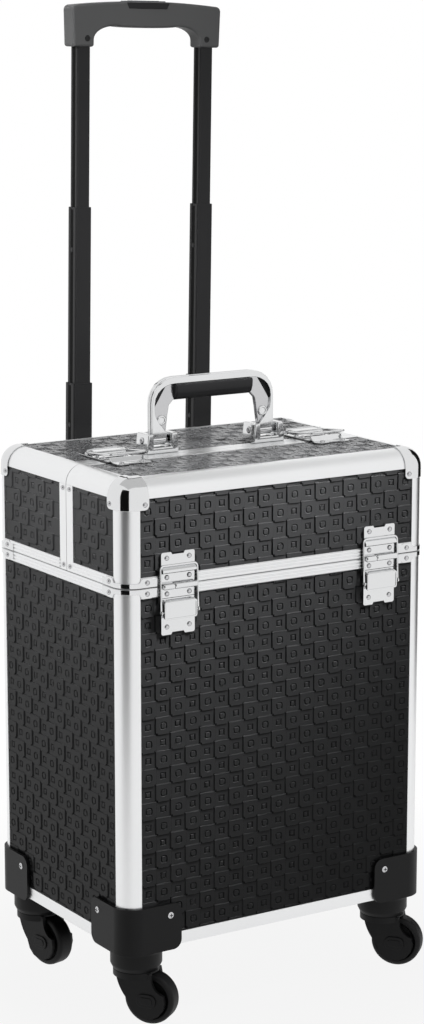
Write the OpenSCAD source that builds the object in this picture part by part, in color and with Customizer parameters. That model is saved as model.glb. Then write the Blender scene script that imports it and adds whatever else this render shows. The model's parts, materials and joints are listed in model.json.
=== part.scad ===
/* [Case] */
// Width of the case across its front
case_w = 340; // [332:1:360]
// Depth of the case from front to back
case_d = 244; // [234:1:254]
// Height of the lower body, from its underside to the split
body_h = 345; // [300:1:380]
// Height of the two lids above the split
lid_h = 100; // [90:1:120]
// Outer radius of the rounded aluminium edges
edge_r = 18; // [15:1:22]
// How far in front of the middle the lids part
seam_shift = 18; // [14:1:22]

/* [Running gear] */
// Height of the case's underside above the floor
caster_h = 77; // [77:1:86]
// Diameter of the caster wheels
wheel_d = 50; // [46:1:50]
// How far each wheel trails behind its swivel
caster_trail = 16; // [14:1:18]
// Directions of the trailing wheels seen from above: front left, front right, rear left, rear right
caster_headings = [-55, -50, -77, -64]; // [-180:1:180]

/* [Trolley] */
// Height of the top of the trolley grip above the floor
grip_top_h = 943; // [930:1:955]
// Distance between the middles of the two posts
post_span = 140; // [130:1:150]
// Width of the slimmest post tube
tube_w = 14.5; // [13.5:0.1:15]
// Lean of the whole trolley to the right, in degrees
trolley_lean = 0.95; // [0:0.05:1]

/* [Carry handle] */
// Width of the carry handle
handle_w = 137; // [130:1:144]
// Height of the carry handle above the top of the case
handle_h = 71; // [66:1:76]

/* [Latches] */
// Distance from the middle of the case to the middle of a latch
latch_x = 113; // [106:1:118]
// Width of the latch plates
latch_w = 36; // [34:0.5:37]

/* [Hidden] */
$fn = 48;

// Colours as the photograph shows them
black_panel = "#232426";
aluminium = "#c9cbcc";
chrome = "#e3e5e6";
black_plastic = "#1d1d1e";
black_tube = "#2b2b2c";

// Case planes: half width, half depth, underside, split, top and seam between the lids
half_w = case_w / 2;
half_d = case_d / 2;
base_z = caster_h;
split_z = base_z + body_h;
top_z = split_z + lid_h;
seam_y = -seam_shift;

// Walls, rims and the gaps between them
wall = 6;
panel_sink = 0.5;
split_gap = 0.6;
rim_h = 10;
seam_rim_w = 12;
rail_h = 12;
plate_t = 1.2;
plate_gap = 0.05;
seat = 0.05;
rivet_r = 2.4;
rivet_h = 1.1;
mid_x = half_w - edge_r;
mid_y = half_d - edge_r;

// Corner plates and caps of the case
plate_ear_len = 16;
corner_plate_h = 9;
cap_skirt = 10;
cap_ear_len = 9;
cap_ear_h = 10;

// Foot brackets
bracket_t = 3;
bracket_len = 59;
bracket_h = 42;
bracket_base_t = 3;
bracket_base_inset = 0.5;
bracket_round = 9;
screw_r = 3.2;
screw_inset = 12;
screw_up = 31;

// Caster housings under the brackets
housing_r = 24.6;
housing_h = 24;
housing_chamfer = 2.6;
flare_r = 5;

// Casters: the cheeks' back edge and the hollow over the wheel are arcs placed from the axle
run_fit = 0.05;
stem_r = 4;
stem_len = 20;
swivel_inset = 27.3;
wheel_r = wheel_d / 2;
wheel_w = 18;
tyre_round = 4;
hub_sink = 3;
axle_r = 3;
cheek_t = 4;
cheek_gap = 0.8;
cheek_back = [14, 30, 45.5];
cheek_hollow = [20.5, 21.5, 15.5];
hood_gap = 1.2;
boss_r = 18.5;
disc_r = 22;
disc_h = 6;
float_gap = 0.5;
fork_top_z = base_z - housing_h - float_gap;

// Latches, measured from the hinge pin: across, outwards and up
pin_out = 4.6;
pin_r = 1.5;
knuckle_r = 3;
knuckle_split = -6;
ledge_z0 = 13;
ledge_z1 = 18.8;
ledge_out = 5.2;
ledge_w = 28;
strike_top = 31;
strike_rivet_z = 25.5;
leaf_z0 = 2;
leaf_z1 = 12.5;
leaf_rivet_z = 8;
base_bottom = -46;
base_rivet_z = -38.5;
lever_pivot_z = -15;
lever_pivot_y = -pin_out + 4;
lever_w = 26;
lever_len = 19;
lever_t = 1.6;
lever_barrel_r = 2.2;
lug_t = 1.5;
lug_x = lever_w / 2 + 0.5;
pivot_r = 1.1;
bail_pivot_z = -24;
bail_pivot_y = lever_pivot_y + 0.4;
bail_pin_r = 1.2;
bail_boss_r = 2.1;
bail_wire = 2.5;
bail_bend = 4;
bail_x = 19.6;
bail_top = 21.6;
bail_len = bail_top - bail_pivot_z;
eye_r = 2.6;
bail_fold = 6;

// Rear hinges
rear_hinge_x = 112;
rear_hinge_w = 40;
rear_leaf_h = 20;

// Trolley: each tube is a step wider and a step deeper than the one that slides in it
tube_wall = 0.7;
tube_step = [3.4, 2];
tube_d = tube_w - 0.7;
post_gap = 3;
post_y = half_d + post_gap + (tube_d + 3 * tube_step[1]) / 2;
grip_leg_h = 44;
stage_1_bottom = grip_top_h - 240;
stage_2_top = grip_top_h - 200;
stage_2_bottom = stage_2_top - 213;
stage_3_top = stage_2_top - 173;
stage_3_bottom = stage_3_top - 205;
outer_top = stage_3_top - 165;
outer_bottom = base_z + 12;
lean_z = outer_top + 65;
grip_depth = 20;
grip_half_w = post_span / 2 + 14.5;
grip_taper = 1.2;
grip_leg_w = 24.5;
grip_bar_h = 24;
grip_crown = 4;
grip_corner_r = 5;
grip_arch = [24, 13];
grip_pad = [34, 1.6];
grip_socket = 24;
socket_fit = 0.02;
clamp_w = 46;
clamp_h = 30;
clamp_t = 3.5;
button_w = 46;
button_depth = 13;
button_gap = 0.4;
button_h = 8;
button_rise = 1.5;
button_travel = 4;

// Carry handle
foot_x = 60;
foot_y = seam_y + 17;
foot_w = 32;
foot_splay = 1.5;
foot_d = 22;
foot_h = 19;
foot_slot = 18;
foot_base = 4;
handle_pivot_h = 12;
handle_pin_r = 2;
handle_depth = 10;
handle_strap = 6.5;
handle_leg_w = 16.5;
handle_corner_r = 25;
handle_bar_h = 16;
handle_bar_depth = 17;
handle_bar_half = 43;
handle_leg_h = 30;
gusset_t = 4;
gusset_lip = 4;
heel_r = 6.4;

// Points of an oval's arc, from angle a0 to a1
function oval(cx, cy, rx, ry, a0, a1, n = 12) =
    [for (i = [0:n]) let (a = a0 + (a1 - a0) * i / n) [cx + rx * cos(a), cy + ry * sin(a)]];

// Points of a circle's arc, from angle a0 to a1
function arc(cx, cy, r, a0, a1, n = 12) = oval(cx, cy, r, r, a0, a1, n);

// A box given by its low and high corners
module box(lo, hi) {
    translate(lo) cube(hi - lo);
}

// A quarter of a tube standing on the origin, from +x round to +y
module quarter_tube(r, t, h) {
    rotate_extrude(angle = 90) translate([r - t, 0]) square([t, h]);
}

// Children at the four corners, each turned so that +x and +y point outwards
module at_corners(xs = [-1, 1], ys = [-1, 1]) {
    for (sx = xs, sy = ys)
        translate([sx * mid_x, sy * mid_y, 0]) mirror([sx < 0 ? 1 : 0, 0, 0]) mirror([0, sy < 0 ? 1 : 0, 0])
            children();
}

// A rivet head standing on a face, with its axis along z
module rivet() {
    cylinder(h = rivet_h, r1 = rivet_r, r2 = rivet_r * 0.62);
}

module rivet_at(p, side) {
    turn = side == "front" ? [90, 0, 0]
        : side == "back" ? [-90, 0, 0]
        : side == "left" ? [0, -90, 0]
        : side == "right" ? [0, 90, 0]
        : [0, 0, 0];
    translate(p) rotate(turn) rivet();
}

// Lower body

module body_front_panel() {
    color(black_panel)
        box([-mid_x, -half_d + panel_sink, base_z + rail_h], [mid_x, -half_d + wall, split_z - rim_h]);
}

module body_back_panel() {
    color(black_panel)
        box([-mid_x, half_d - wall, base_z + rail_h], [mid_x, half_d - panel_sink, split_z - rim_h]);
}

module body_side_panels() {
    color(black_panel) for (side = [0, 1]) mirror([side, 0, 0])
        box([half_w - wall, -mid_y, base_z + rail_h], [half_w - panel_sink, mid_y, split_z - rim_h]);
}

module body_floor() {
    inner_w = half_w - wall;
    inner_d = half_d - wall;
    color(black_panel) translate([0, 0, base_z + 1]) linear_extrude(wall) polygon([
        [-inner_w, -mid_y], [-mid_x, -inner_d], [mid_x, -inner_d], [inner_w, -mid_y],
        [inner_w, mid_y], [mid_x, inner_d], [-mid_x, inner_d], [-inner_w, mid_y]
    ]);
}

module body_corner_posts() {
    color(aluminium) at_corners() translate([0, 0, base_z])
        quarter_tube(edge_r, wall, body_h - split_gap / 2);
}

// Four straight bars between the corner posts, from z0 to z1
module wall_bars(z0, z1) {
    for (side = [0, 1]) {
        mirror([0, side, 0]) box([-mid_x, half_d - wall, z0], [mid_x, half_d, z1]);
        mirror([side, 0, 0]) box([half_w - wall, -mid_y, z0], [half_w, mid_y, z1]);
    }
}

module body_rim() {
    color(aluminium) wall_bars(split_z - rim_h, split_z - split_gap / 2);
}

module body_bottom_rails() {
    color(aluminium) wall_bars(base_z, base_z + rail_h);
}

// A band round a corner post with an ear on each face
module corner_plate(z0, h) {
    translate([0, 0, z0]) quarter_tube(edge_r + plate_t, plate_t - plate_gap, h);
    box([-plate_ear_len, edge_r + plate_gap, z0], [0, edge_r + plate_t, z0 + h]);
    box([edge_r + plate_gap, -plate_ear_len, z0], [edge_r + plate_t, 0, z0 + h]);
}

// The two rivets on the ears of a corner plate or cap, back from the post by a distance
module ear_rivets(back, z) {
    translate([-back, edge_r + plate_t, z]) rotate([-90, 0, 0]) rivet();
    translate([edge_r + plate_t, -back, z]) rotate([0, 90, 0]) rivet();
}

module body_corner_plates() {
    color(chrome) at_corners() corner_plate(split_z - corner_plate_h - split_gap, corner_plate_h);
}

module body_rivets() {
    color(chrome) at_corners() ear_rivets(plate_ear_len / 2, split_z - corner_plate_h / 2 - split_gap);
}

// Outline of a foot bracket on one face: distance from the corner post's middle line, and height
function bracket_outline() =
    let (end = edge_r - bracket_len, r = bracket_round)
    concat(
        [[0, bracket_h]], arc(end + r, bracket_h - r, r, 90, 180, 8),
        arc(end + r, r - bracket_base_t, r, 180, 270, 8), [[0, -bracket_base_t]]
    );

module bracket_face() {
    rotate([90, 0, 0]) linear_extrude(bracket_t - plate_gap) polygon(bracket_outline());
}

// Flared housing that holds a caster's stem, drawn round the stem with the case's underside at z = 0
module caster_housing() {
    flare_z = -bracket_base_t - flare_r;
    rotate_extrude() polygon(concat(
        [[0, -plate_gap], [0, -housing_h], [housing_r - housing_chamfer, -housing_h],
         [housing_r, -housing_h + 2 * housing_chamfer]],
        arc(housing_r + flare_r, flare_z, flare_r, 180, 100, 8),
        [[housing_r + flare_r, -plate_gap]]
    ));
}

// The bracket wraps a corner: two faces, the rounded corner between them, and the housing below
module foot_bracket() {
    outer_r = edge_r + bracket_t;
    base_r = outer_r - bracket_base_inset;
    end = edge_r - bracket_len;
    base_end = end + bracket_round;
    stem = edge_r - swivel_inset;
    translate([0, 0, base_z]) difference() {
        union() {
            translate([0, 0, -bracket_base_t])
                quarter_tube(outer_r, bracket_t - plate_gap, bracket_h + bracket_base_t);
            translate([0, outer_r, 0]) bracket_face();
            mirror([1, -1, 0]) translate([0, outer_r, 0]) bracket_face();
            translate([0, 0, -bracket_base_t]) linear_extrude(bracket_base_t - plate_gap) polygon(concat(
                arc(0, 0, base_r, 0, 90, 8),
                [[base_end, base_r], [base_end, end / 2], [end / 2, base_end], [base_r, base_end]]
            ));
            translate([stem, stem, 0]) caster_housing();
        }
        translate([stem, stem, -housing_h - 1]) cylinder(h = housing_h + 2, r = stem_r + run_fit);
    }
}

module foot_brackets() {
    color(black_plastic) at_corners() foot_bracket();
}

module bracket_screws() {
    reach = edge_r - bracket_len + screw_inset;
    face = edge_r + bracket_t;
    color(chrome) at_corners() {
        translate([reach, face, base_z + screw_up]) rotate([-90, 0, 0]) cylinder(h = plate_t, r = screw_r);
        translate([face, reach, base_z + screw_up]) rotate([0, 90, 0]) cylinder(h = plate_t, r = screw_r);
    }
}

// Latches, drawn round the hinge pin with +y outwards

module on_front(side) {
    translate([side * latch_x, -half_d - pin_out, split_z]) mirror([0, 1, 0]) children();
}

module on_top(side) {
    translate([side * latch_x, seam_y, top_z + pin_out]) rotate([90, 0, 0]) children();
}

module latch_plate(z0, z1) {
    box([-latch_w / 2, -pin_out, z0], [latch_w / 2, -pin_out + plate_t, z1]);
}

module across(x0, x1, y, z, r) {
    translate([x0, y, z]) rotate([0, 90, 0]) cylinder(h = x1 - x0, r = r);
}

module plate_rivets(z, spread = 10) {
    for (x = [-spread, spread]) translate([x, -pin_out + plate_t, z]) rotate([-90, 0, 0]) rivet();
}

// One leaf of the latch's hinge, with its knuckle; up is +1 for the lid's leaf
module hinge_leaf(up, x0, x1) {
    difference() {
        union() {
            latch_plate(min(up * leaf_z0, up * leaf_z1), max(up * leaf_z0, up * leaf_z1));
            across(x0, x1, 0, 0, knuckle_r);
            box([x0, -pin_out, min(up * 0.4, up * 3)], [x1, -0.5, max(up * 0.4, up * 3)]);
        }
        across(x0 - 1, x1 + 1, 0, 0, pin_r + run_fit);
    }
    plate_rivets(up * leaf_rivet_z);
}

module latch_base() {
    difference() {
        union() {
            latch_plate(base_bottom, -leaf_z1 - 0.3);
            for (side = [0, 1]) mirror([side, 0, 0]) box(
                [lug_x, -pin_out + plate_t / 3, lever_pivot_z - 2 * lever_barrel_r],
                [lug_x + lug_t, lever_pivot_y + lever_barrel_r, lever_pivot_z + lever_barrel_r]
            );
        }
        across(-latch_w / 2, latch_w / 2, lever_pivot_y, lever_pivot_z, pivot_r + run_fit);
    }
    plate_rivets(base_rivet_z);
}

module latch_strike() {
    latch_plate(leaf_z1 + 0.3, strike_top);
    box([-ledge_w / 2, -pin_out + plate_t, ledge_z0], [ledge_w / 2, -pin_out + ledge_out, ledge_z1]);
    plate_rivets(strike_rivet_z);
}

module latch_lever() {
    reach = lug_x + lug_t;
    difference() {
        union() {
            across(-lever_w / 2, lever_w / 2, lever_pivot_y, lever_pivot_z, lever_barrel_r);
            box([-lever_w / 2, lever_pivot_y + 0.4, lever_pivot_z - lever_len],
                [lever_w / 2, lever_pivot_y + 0.4 + lever_t, lever_pivot_z]);
            across(-lever_w / 2, lever_w / 2, bail_pivot_y, bail_pivot_z, bail_boss_r);
            across(-reach, reach, lever_pivot_y, lever_pivot_z, pivot_r);
        }
        across(-reach, reach, bail_pivot_y, bail_pivot_z, bail_pin_r + run_fit);
    }
}

module bail_pin() {
    across(-bail_x - bail_wire, bail_x + bail_wire, bail_pivot_y, bail_pivot_z, bail_pin_r);
}

// The wire loop, pivoted on its pin and turned by an angle outwards
module latch_bail(turn = 0) {
    in_x = bail_x - bail_wire / 2;
    out_x = bail_x + bail_wire / 2;
    in_bend = bail_bend - bail_wire;
    translate([0, bail_pivot_y, bail_pivot_z]) rotate([-turn, 0, 0]) difference() {
        union() {
            translate([0, bail_wire / 2, 0]) rotate([90, 0, 0]) linear_extrude(bail_wire) polygon(concat(
                [[-out_x, 0]],
                arc(-out_x + bail_bend, bail_len - bail_bend, bail_bend, 180, 90, 6),
                arc(out_x - bail_bend, bail_len - bail_bend, bail_bend, 90, 0, 6),
                [[out_x, 0], [in_x, 0]],
                arc(in_x - in_bend, bail_len - bail_bend, in_bend, 0, 90, 4),
                arc(-in_x + in_bend, bail_len - bail_bend, in_bend, 90, 180, 4),
                [[-in_x, 0]]
            ));
            for (x = [-bail_x, bail_x]) across(x - bail_wire / 2, x + bail_wire / 2, 0, 0, eye_r);
        }
        across(-out_x - 1, out_x + 1, 0, 0, bail_pin_r + run_fit);
    }
}

module front_latch_bases() {
    color(chrome) for (side = [-1, 1]) on_front(side) {
        latch_base();
        hinge_leaf(-1, knuckle_split, latch_w / 2);
    }
}

module front_hinge_pins() {
    color(chrome) for (side = [-1, 1]) on_front(side) across(-latch_w / 2, latch_w / 2, 0, 0, pin_r);
}

module front_latch_strikes() {
    color(chrome) for (side = [-1, 1]) on_front(side) {
        latch_strike();
        hinge_leaf(1, -latch_w / 2, knuckle_split - 0.4);
    }
}

module top_latch_strikes() {
    color(chrome) for (side = [-1, 1]) on_top(side) {
        latch_strike();
        latch_plate(leaf_z0, leaf_z1);
    }
}

module top_latch_bases() {
    color(chrome) for (side = [-1, 1]) on_top(side) {
        latch_base();
        latch_plate(-leaf_z1, -leaf_z0);
    }
}

module front_latch_left_lever() { color(chrome) on_front(-1) latch_lever(); }
module front_latch_right_lever() { color(chrome) on_front(1) latch_lever(); }
module front_latch_left_bail_pin() { color(chrome) on_front(-1) bail_pin(); }
module front_latch_right_bail_pin() { color(chrome) on_front(1) bail_pin(); }
module front_latch_left_bail() { color(chrome) on_front(-1) latch_bail(); }
module front_latch_right_bail() { color(chrome) on_front(1) latch_bail(); }

module top_latch_lever(side) {
    color(chrome) on_top(side) {
        latch_lever();
        bail_pin();
    }
}

module top_latch_left_lever() { top_latch_lever(-1); }
module top_latch_right_lever() { top_latch_lever(1); }
module top_latch_left_bail() { color(chrome) on_top(-1) latch_bail(bail_fold); }
module top_latch_right_bail() { color(chrome) on_top(1) latch_bail(bail_fold); }

// Lids

// A lid's share of the depth: front lid from the front face to the seam, rear lid from the seam to the back
lid_low = split_z + split_gap / 2;
lid_panel_low = split_z + rim_h;
lid_panel_high = top_z - edge_r;

// Edges of one lid, drawn for the rear: sy is +1 for the rear lid, -1 for the front one
module lid_frame(sy) {
    inner = sy * seam_y + split_gap / 2;
    bar_x = mid_x - seat;
    mirror([0, sy < 0 ? 1 : 0, 0]) {
        for (side = [0, 1]) mirror([side, 0, 0]) {
            translate([mid_x, mid_y, lid_low]) quarter_tube(edge_r, wall, lid_panel_high - lid_low - seat);
            translate([mid_x, mid_y, lid_panel_high]) rotate_extrude(angle = 90) intersection() {
                difference() {
                    circle(edge_r);
                    circle(edge_r - wall);
                }
                square(edge_r + 1);
            }
            translate([mid_x, mid_y - seat, lid_panel_high]) rotate([90, 0, 0])
                quarter_tube(edge_r, wall, mid_y - seat - inner);
            box([half_w - wall, inner + seam_rim_w + seat, lid_low], [half_w, mid_y - seat, lid_panel_low]);
            box([half_w - wall, inner, lid_low], [half_w, inner + seam_rim_w, lid_panel_high - seat]);
        }
        translate([-bar_x, mid_y, lid_panel_high]) rotate([90, 0, 90]) quarter_tube(edge_r, wall, 2 * bar_x);
        box([-bar_x, half_d - wall, lid_low], [bar_x, half_d, lid_panel_low]);
        box([-bar_x, inner, top_z - wall], [bar_x, inner + seam_rim_w, top_z]);
    }
}

module lid_end_panel(sy) {
    mirror([0, sy < 0 ? 1 : 0, 0])
        box([-mid_x, half_d - wall, lid_panel_low], [mid_x, half_d - panel_sink, lid_panel_high]);
}

module lid_top_panel(sy) {
    inner = sy * seam_y + split_gap / 2 + seam_rim_w;
    mirror([0, sy < 0 ? 1 : 0, 0]) box([-mid_x, inner, top_z - wall], [mid_x, mid_y, top_z - panel_sink]);
}

module lid_side_panels(sy) {
    inner = sy * seam_y + split_gap / 2 + seam_rim_w;
    mirror([0, sy < 0 ? 1 : 0, 0]) for (side = [0, 1]) mirror([side, 0, 0])
        box([half_w - wall, inner, lid_panel_low], [half_w - panel_sink, mid_y, lid_panel_high]);
}

// Chrome cap over a ball corner, running down the post, with an ear on each face
module ball_cap() {
    translate([0, 0, lid_panel_high]) {
        rotate_extrude(angle = 90) polygon(concat(
            [[edge_r + plate_t, -cap_skirt]], arc(0, 0, edge_r + plate_t, 0, 89, 10),
            arc(0, 0, edge_r + plate_gap, 89, 0, 10), [[edge_r + plate_gap, -cap_skirt]]
        ));
        box([-cap_ear_len, edge_r + plate_gap, -cap_skirt], [0, edge_r + plate_t, -cap_skirt + cap_ear_h]);
        box([edge_r + plate_gap, -cap_ear_len, -cap_skirt], [edge_r + plate_t, 0, -cap_skirt + cap_ear_h]);
    }
}

module lid_caps(sy) {
    at_corners(ys = [sy]) {
        ball_cap();
        corner_plate(split_z + split_gap, corner_plate_h);
    }
}

module lid_rivets(sy) {
    inner = sy * seam_y + split_gap / 2 + seam_rim_w / 2;
    at_corners(ys = [sy]) {
        ear_rivets(plate_ear_len / 2, split_z + corner_plate_h / 2 + split_gap);
        ear_rivets(cap_ear_len / 2, lid_panel_high - cap_skirt / 2);
    }
    for (z = [lid_panel_low - rim_h / 2, lid_panel_high - 4]) {
        rivet_at([-half_w, sy * inner, z], "left");
        rivet_at([half_w, sy * inner, z], "right");
    }
}

module front_lid_front_panel() { color(black_panel) lid_end_panel(-1); }
module front_lid_top_panel() { color(black_panel) lid_top_panel(-1); }
module front_lid_side_panels() { color(black_panel) lid_side_panels(-1); }
module front_lid_frame() { color(aluminium) lid_frame(-1); }
module front_lid_corner_caps() { color(chrome) lid_caps(-1); }
module front_lid_rivets() { color(chrome) lid_rivets(-1); }
module rear_lid_back_panel() { color(black_panel) lid_end_panel(1); }
module rear_lid_top_panel() { color(black_panel) lid_top_panel(1); }
module rear_lid_side_panels() { color(black_panel) lid_side_panels(1); }
module rear_lid_frame() { color(aluminium) lid_frame(1); }
module rear_lid_corner_caps() { color(chrome) lid_caps(1); }
module rear_lid_rivets() { color(chrome) lid_rivets(1); }

// Rear hinges

// One leaf of a rear hinge; up is +1 for the lid's leaf, and parts lists where its knuckles lie
module rear_leaf(up, parts) {
    low = min(up * leaf_z0, up * rear_leaf_h);
    high = max(up * leaf_z0, up * rear_leaf_h);
    difference() {
        union() {
            box([-rear_hinge_w / 2, -pin_out, low], [rear_hinge_w / 2, -pin_out + plate_t, high]);
            for (p = parts) {
                across(p[0], p[1], 0, 0, knuckle_r);
                box([p[0], -pin_out, min(up * 0.4, up * 3)], [p[1], -0.5, max(up * 0.4, up * 3)]);
            }
        }
        across(-rear_hinge_w, rear_hinge_w, 0, 0, pin_r + run_fit);
    }
    for (x = [-12, 12]) translate([x, -pin_out + plate_t, up * 13]) rotate([-90, 0, 0]) rivet();
}

module at_rear_hinges() {
    for (side = [-1, 1]) translate([side * rear_hinge_x, half_d + pin_out, split_z]) children();
}

module rear_hinge_lower_leaves() {
    third = rear_hinge_w / 6;
    color(chrome) at_rear_hinges()
        rear_leaf(-1, [[-rear_hinge_w / 2, -third - 0.2], [third + 0.2, rear_hinge_w / 2]]);
}

module rear_hinge_upper_leaves() {
    third = rear_hinge_w / 6;
    color(chrome) at_rear_hinges() rear_leaf(1, [[-third + 0.2, third - 0.2]]);
}

module rear_hinge_pins() {
    color(chrome) at_rear_hinges() across(-rear_hinge_w / 2, rear_hinge_w / 2, 0, 0, pin_r);
}

// Carry handle

module handle_foot() {
    low_x = foot_w / 2 + foot_splay;
    high_x = foot_w / 2 - foot_splay;
    slot_x = foot_slot / 2;
    difference() {
        translate([0, foot_d / 2, 0]) rotate([90, 0, 0]) linear_extrude(foot_d) polygon([
            [-low_x, 0], [low_x, 0], [high_x, foot_h], [slot_x, foot_h],
            [slot_x, foot_base], [-slot_x, foot_base], [-slot_x, foot_h], [-high_x, foot_h]
        ]);
        across(-foot_w, foot_w, 0, handle_pivot_h, handle_pin_r + run_fit);
    }
    across(-foot_w / 2, foot_w / 2, 0, handle_pivot_h, handle_pin_r);
}

module handle_feet() {
    color(chrome) for (side = [-1, 1]) translate([side * foot_x, foot_y, top_z]) handle_foot();
}

// Outline of the handle's strap, grown inwards by an inset
function handle_arch(inset) =
    let (half = handle_w / 2 - inset, top = handle_h - inset, r = handle_corner_r - inset)
    concat([[half, handle_pivot_h]], arc(half - r, top - r, r, 0, 90), arc(r - half, top - r, r, 90, 180),
        [[-half, handle_pivot_h]]);

function reversed(list) = [for (i = [len(list) - 1:-1:0]) list[i]];

module handle_plane(depth) {
    translate([0, foot_y + depth / 2, top_z]) rotate([90, 0, 0]) linear_extrude(depth) children();
}

module carry_handle_frame() {
    out = handle_w / 2;
    strap_in = out - handle_strap + 0.5;
    leg_in = out - handle_leg_w;
    bar_low = handle_h - handle_strap - handle_bar_h;
    bar_high = handle_h - handle_strap;
    lip_low = handle_pivot_h + norm([foot_h - handle_pivot_h, foot_d / 2]) + 0.5;
    color(chrome) difference() {
        union() {
            handle_plane(handle_depth) polygon(concat(handle_arch(0), reversed(handle_arch(handle_strap))));
            for (side = [0, 1]) mirror([side, 0, 0]) {
                handle_plane(gusset_t) polygon([
                    [strap_in, handle_pivot_h], [leg_in, handle_pivot_h], [leg_in, lip_low],
                    [leg_in - gusset_lip, handle_leg_h], [handle_bar_half + 1, bar_low],
                    [handle_bar_half + 0.5, bar_high + 1],
                    [handle_bar_half + 2 * gusset_lip, bar_high - 1.5], [strap_in, handle_leg_h + heel_r]
                ]);
                translate([out - handle_leg_w / 2, foot_y, top_z + handle_pivot_h]) rotate([0, 90, 0])
                    cylinder(h = handle_leg_w, r = heel_r, center = true);
                handle_plane(handle_depth) polygon([
                    [leg_in, handle_pivot_h], [out, handle_pivot_h],
                    [out, handle_leg_h], [leg_in + 2 * gusset_lip, handle_leg_h]
                ]);
            }
        }
        for (side = [-1, 1]) translate([side * foot_x, foot_y, top_z])
            across(-foot_w / 2, foot_w / 2, 0, handle_pivot_h, handle_pin_r + run_fit);
    }
}

module carry_handle_grip() {
    low = handle_h - handle_strap - handle_bar_h;
    high = handle_h - handle_strap;
    color(black_plastic) intersection() {
        translate([-handle_bar_half, foot_y, top_z]) rotate([90, 0, 90])
            linear_extrude(2 * handle_bar_half) polygon(concat(
                [[handle_bar_depth / 2, high], [-handle_bar_depth / 2, high]],
                arc(0, low + handle_bar_depth / 2, handle_bar_depth / 2, 200, 340, 10)
            ));
        handle_plane(handle_bar_depth + 2) polygon(handle_arch(handle_strap + plate_gap));
    }
}

// Trolley

// Outer width and depth of one stage's tube; stage 1 is the slimmest and 4 the fixed one
function tube_size(stage) = [tube_w, tube_d] + (stage - 1) * tube_step;

module post_tube(stage, z0, z1) {
    size = tube_size(stage);
    translate([0, 0, z0]) linear_extrude(z1 - z0) difference() {
        square(size, center = true);
        square(size - 2 * [tube_wall, tube_wall], center = true);
    }
}

module at_posts() {
    for (side = [-1, 1]) translate([side * post_span / 2, post_y, 0]) children();
}

// Children that lean with the trolley, about the height where the leaning posts cross upright ones
module leaning() {
    translate([0, 0, lean_z]) rotate([0, trolley_lean, 0]) translate([0, 0, -lean_z]) children();
}

module leaning_tubes(stage, z0, z1) {
    color(black_tube) leaning() at_posts() post_tube(stage, z0, z1);
}

module trolley_outer_tubes() { leaning_tubes(4, outer_bottom, outer_top); }
module trolley_lower_tubes() { leaning_tubes(3, stage_3_bottom, stage_3_top); }
module trolley_middle_tubes() { leaning_tubes(2, stage_2_bottom, stage_2_top); }
module trolley_upper_tubes() { leaning_tubes(1, stage_1_bottom, grip_top_h - grip_leg_h + grip_socket); }

// Clamps that hold the fixed tubes to the back, one pair below and one above
module trolley_mounts() {
    size = tube_size(4);
    back = half_d + plate_gap - post_y;
    heights = [outer_bottom + 20, outer_top - 60];
    color(black_plastic) leaning() at_posts() for (z = heights) translate([0, 0, z])
        linear_extrude(clamp_h) difference() {
            union() {
                translate([-size[0] / 2 - clamp_t, back])
                    square([size[0] + 2 * clamp_t, size[1] / 2 + clamp_t - back]);
                translate([-clamp_w / 2, back]) square([clamp_w, clamp_t]);
            }
            square(size + [socket_fit, socket_fit], center = true);
        }
}

module trolley_grip() {
    leg_in = grip_half_w - grip_leg_w;
    foot = grip_half_w - grip_taper;
    corner_x = grip_half_w - grip_corner_r;
    corner_z = -grip_crown - grip_corner_r;
    arch_x = leg_in - grip_arch[0];
    arch_z = -grip_bar_h - grip_arch[1];
    well = button_h + button_travel - button_rise;
    color(black_plastic) leaning() difference() {
        translate([0, post_y + grip_depth / 2, grip_top_h]) rotate([90, 0, 0]) linear_extrude(grip_depth)
            polygon(concat(
                [[foot, -grip_leg_h]],
                arc(corner_x, corner_z, grip_corner_r, 0, 85, 6),
                [for (i = [7:-1:-7]) [corner_x * i / 8, -grip_crown * pow(i / 8, 2)]],
                arc(-corner_x, corner_z, grip_corner_r, 95, 180, 6),
                [[-foot, -grip_leg_h], [-leg_in, -grip_leg_h]],
                oval(-arch_x, arch_z, grip_arch[0], grip_arch[1], 180, 90, 8),
                oval(0, -grip_bar_h, grip_pad[0], grip_pad[1], 180, 360, 12),
                oval(arch_x, arch_z, grip_arch[0], grip_arch[1], 90, 0, 8),
                [[leg_in, -grip_leg_h]]
            ));
        at_posts() translate([0, 0, grip_top_h - grip_leg_h - 1]) linear_extrude(grip_socket + 1 + plate_gap)
            square(tube_size(1) + [socket_fit, socket_fit], center = true);
        translate([0, post_y, grip_top_h - well]) linear_extrude(well + 1)
            square([button_w, button_depth] + 2 * [button_gap, button_gap], center = true);
    }
}

module grip_button() {
    color("#3a3a3b") leaning() translate([0, post_y, grip_top_h - button_h + button_rise])
        linear_extrude(button_h) square([button_w, button_depth], center = true);
}

// Casters

module at_caster(sx, sy) {
    x = sx * (half_w - swivel_inset);
    y = sy * (half_d - swivel_inset);
    heading = caster_headings[(sx + 1) / 2 + sy + 1];
    translate([x, y, 0]) rotate([0, 0, heading]) children();
}

// An arc placed from the axle by a list of its middle and its radius
function axle_arc(place, a0, a1) =
    arc(caster_trail + place[0], wheel_r + place[1], place[2], a0, a1, 8);

// Side outline of a caster's cheeks: from the swivel disc down the back, round the axle and up the hollow
function cheek_outline() = concat(
    axle_arc(cheek_back, 186, 224),
    axle_arc([0, 0, boss_r], 190, 380),
    axle_arc(cheek_hollow, 248, 182),
    [[caster_trail + cheek_hollow[0] - cheek_hollow[2] - 1, fork_top_z - 1]]
);

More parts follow.
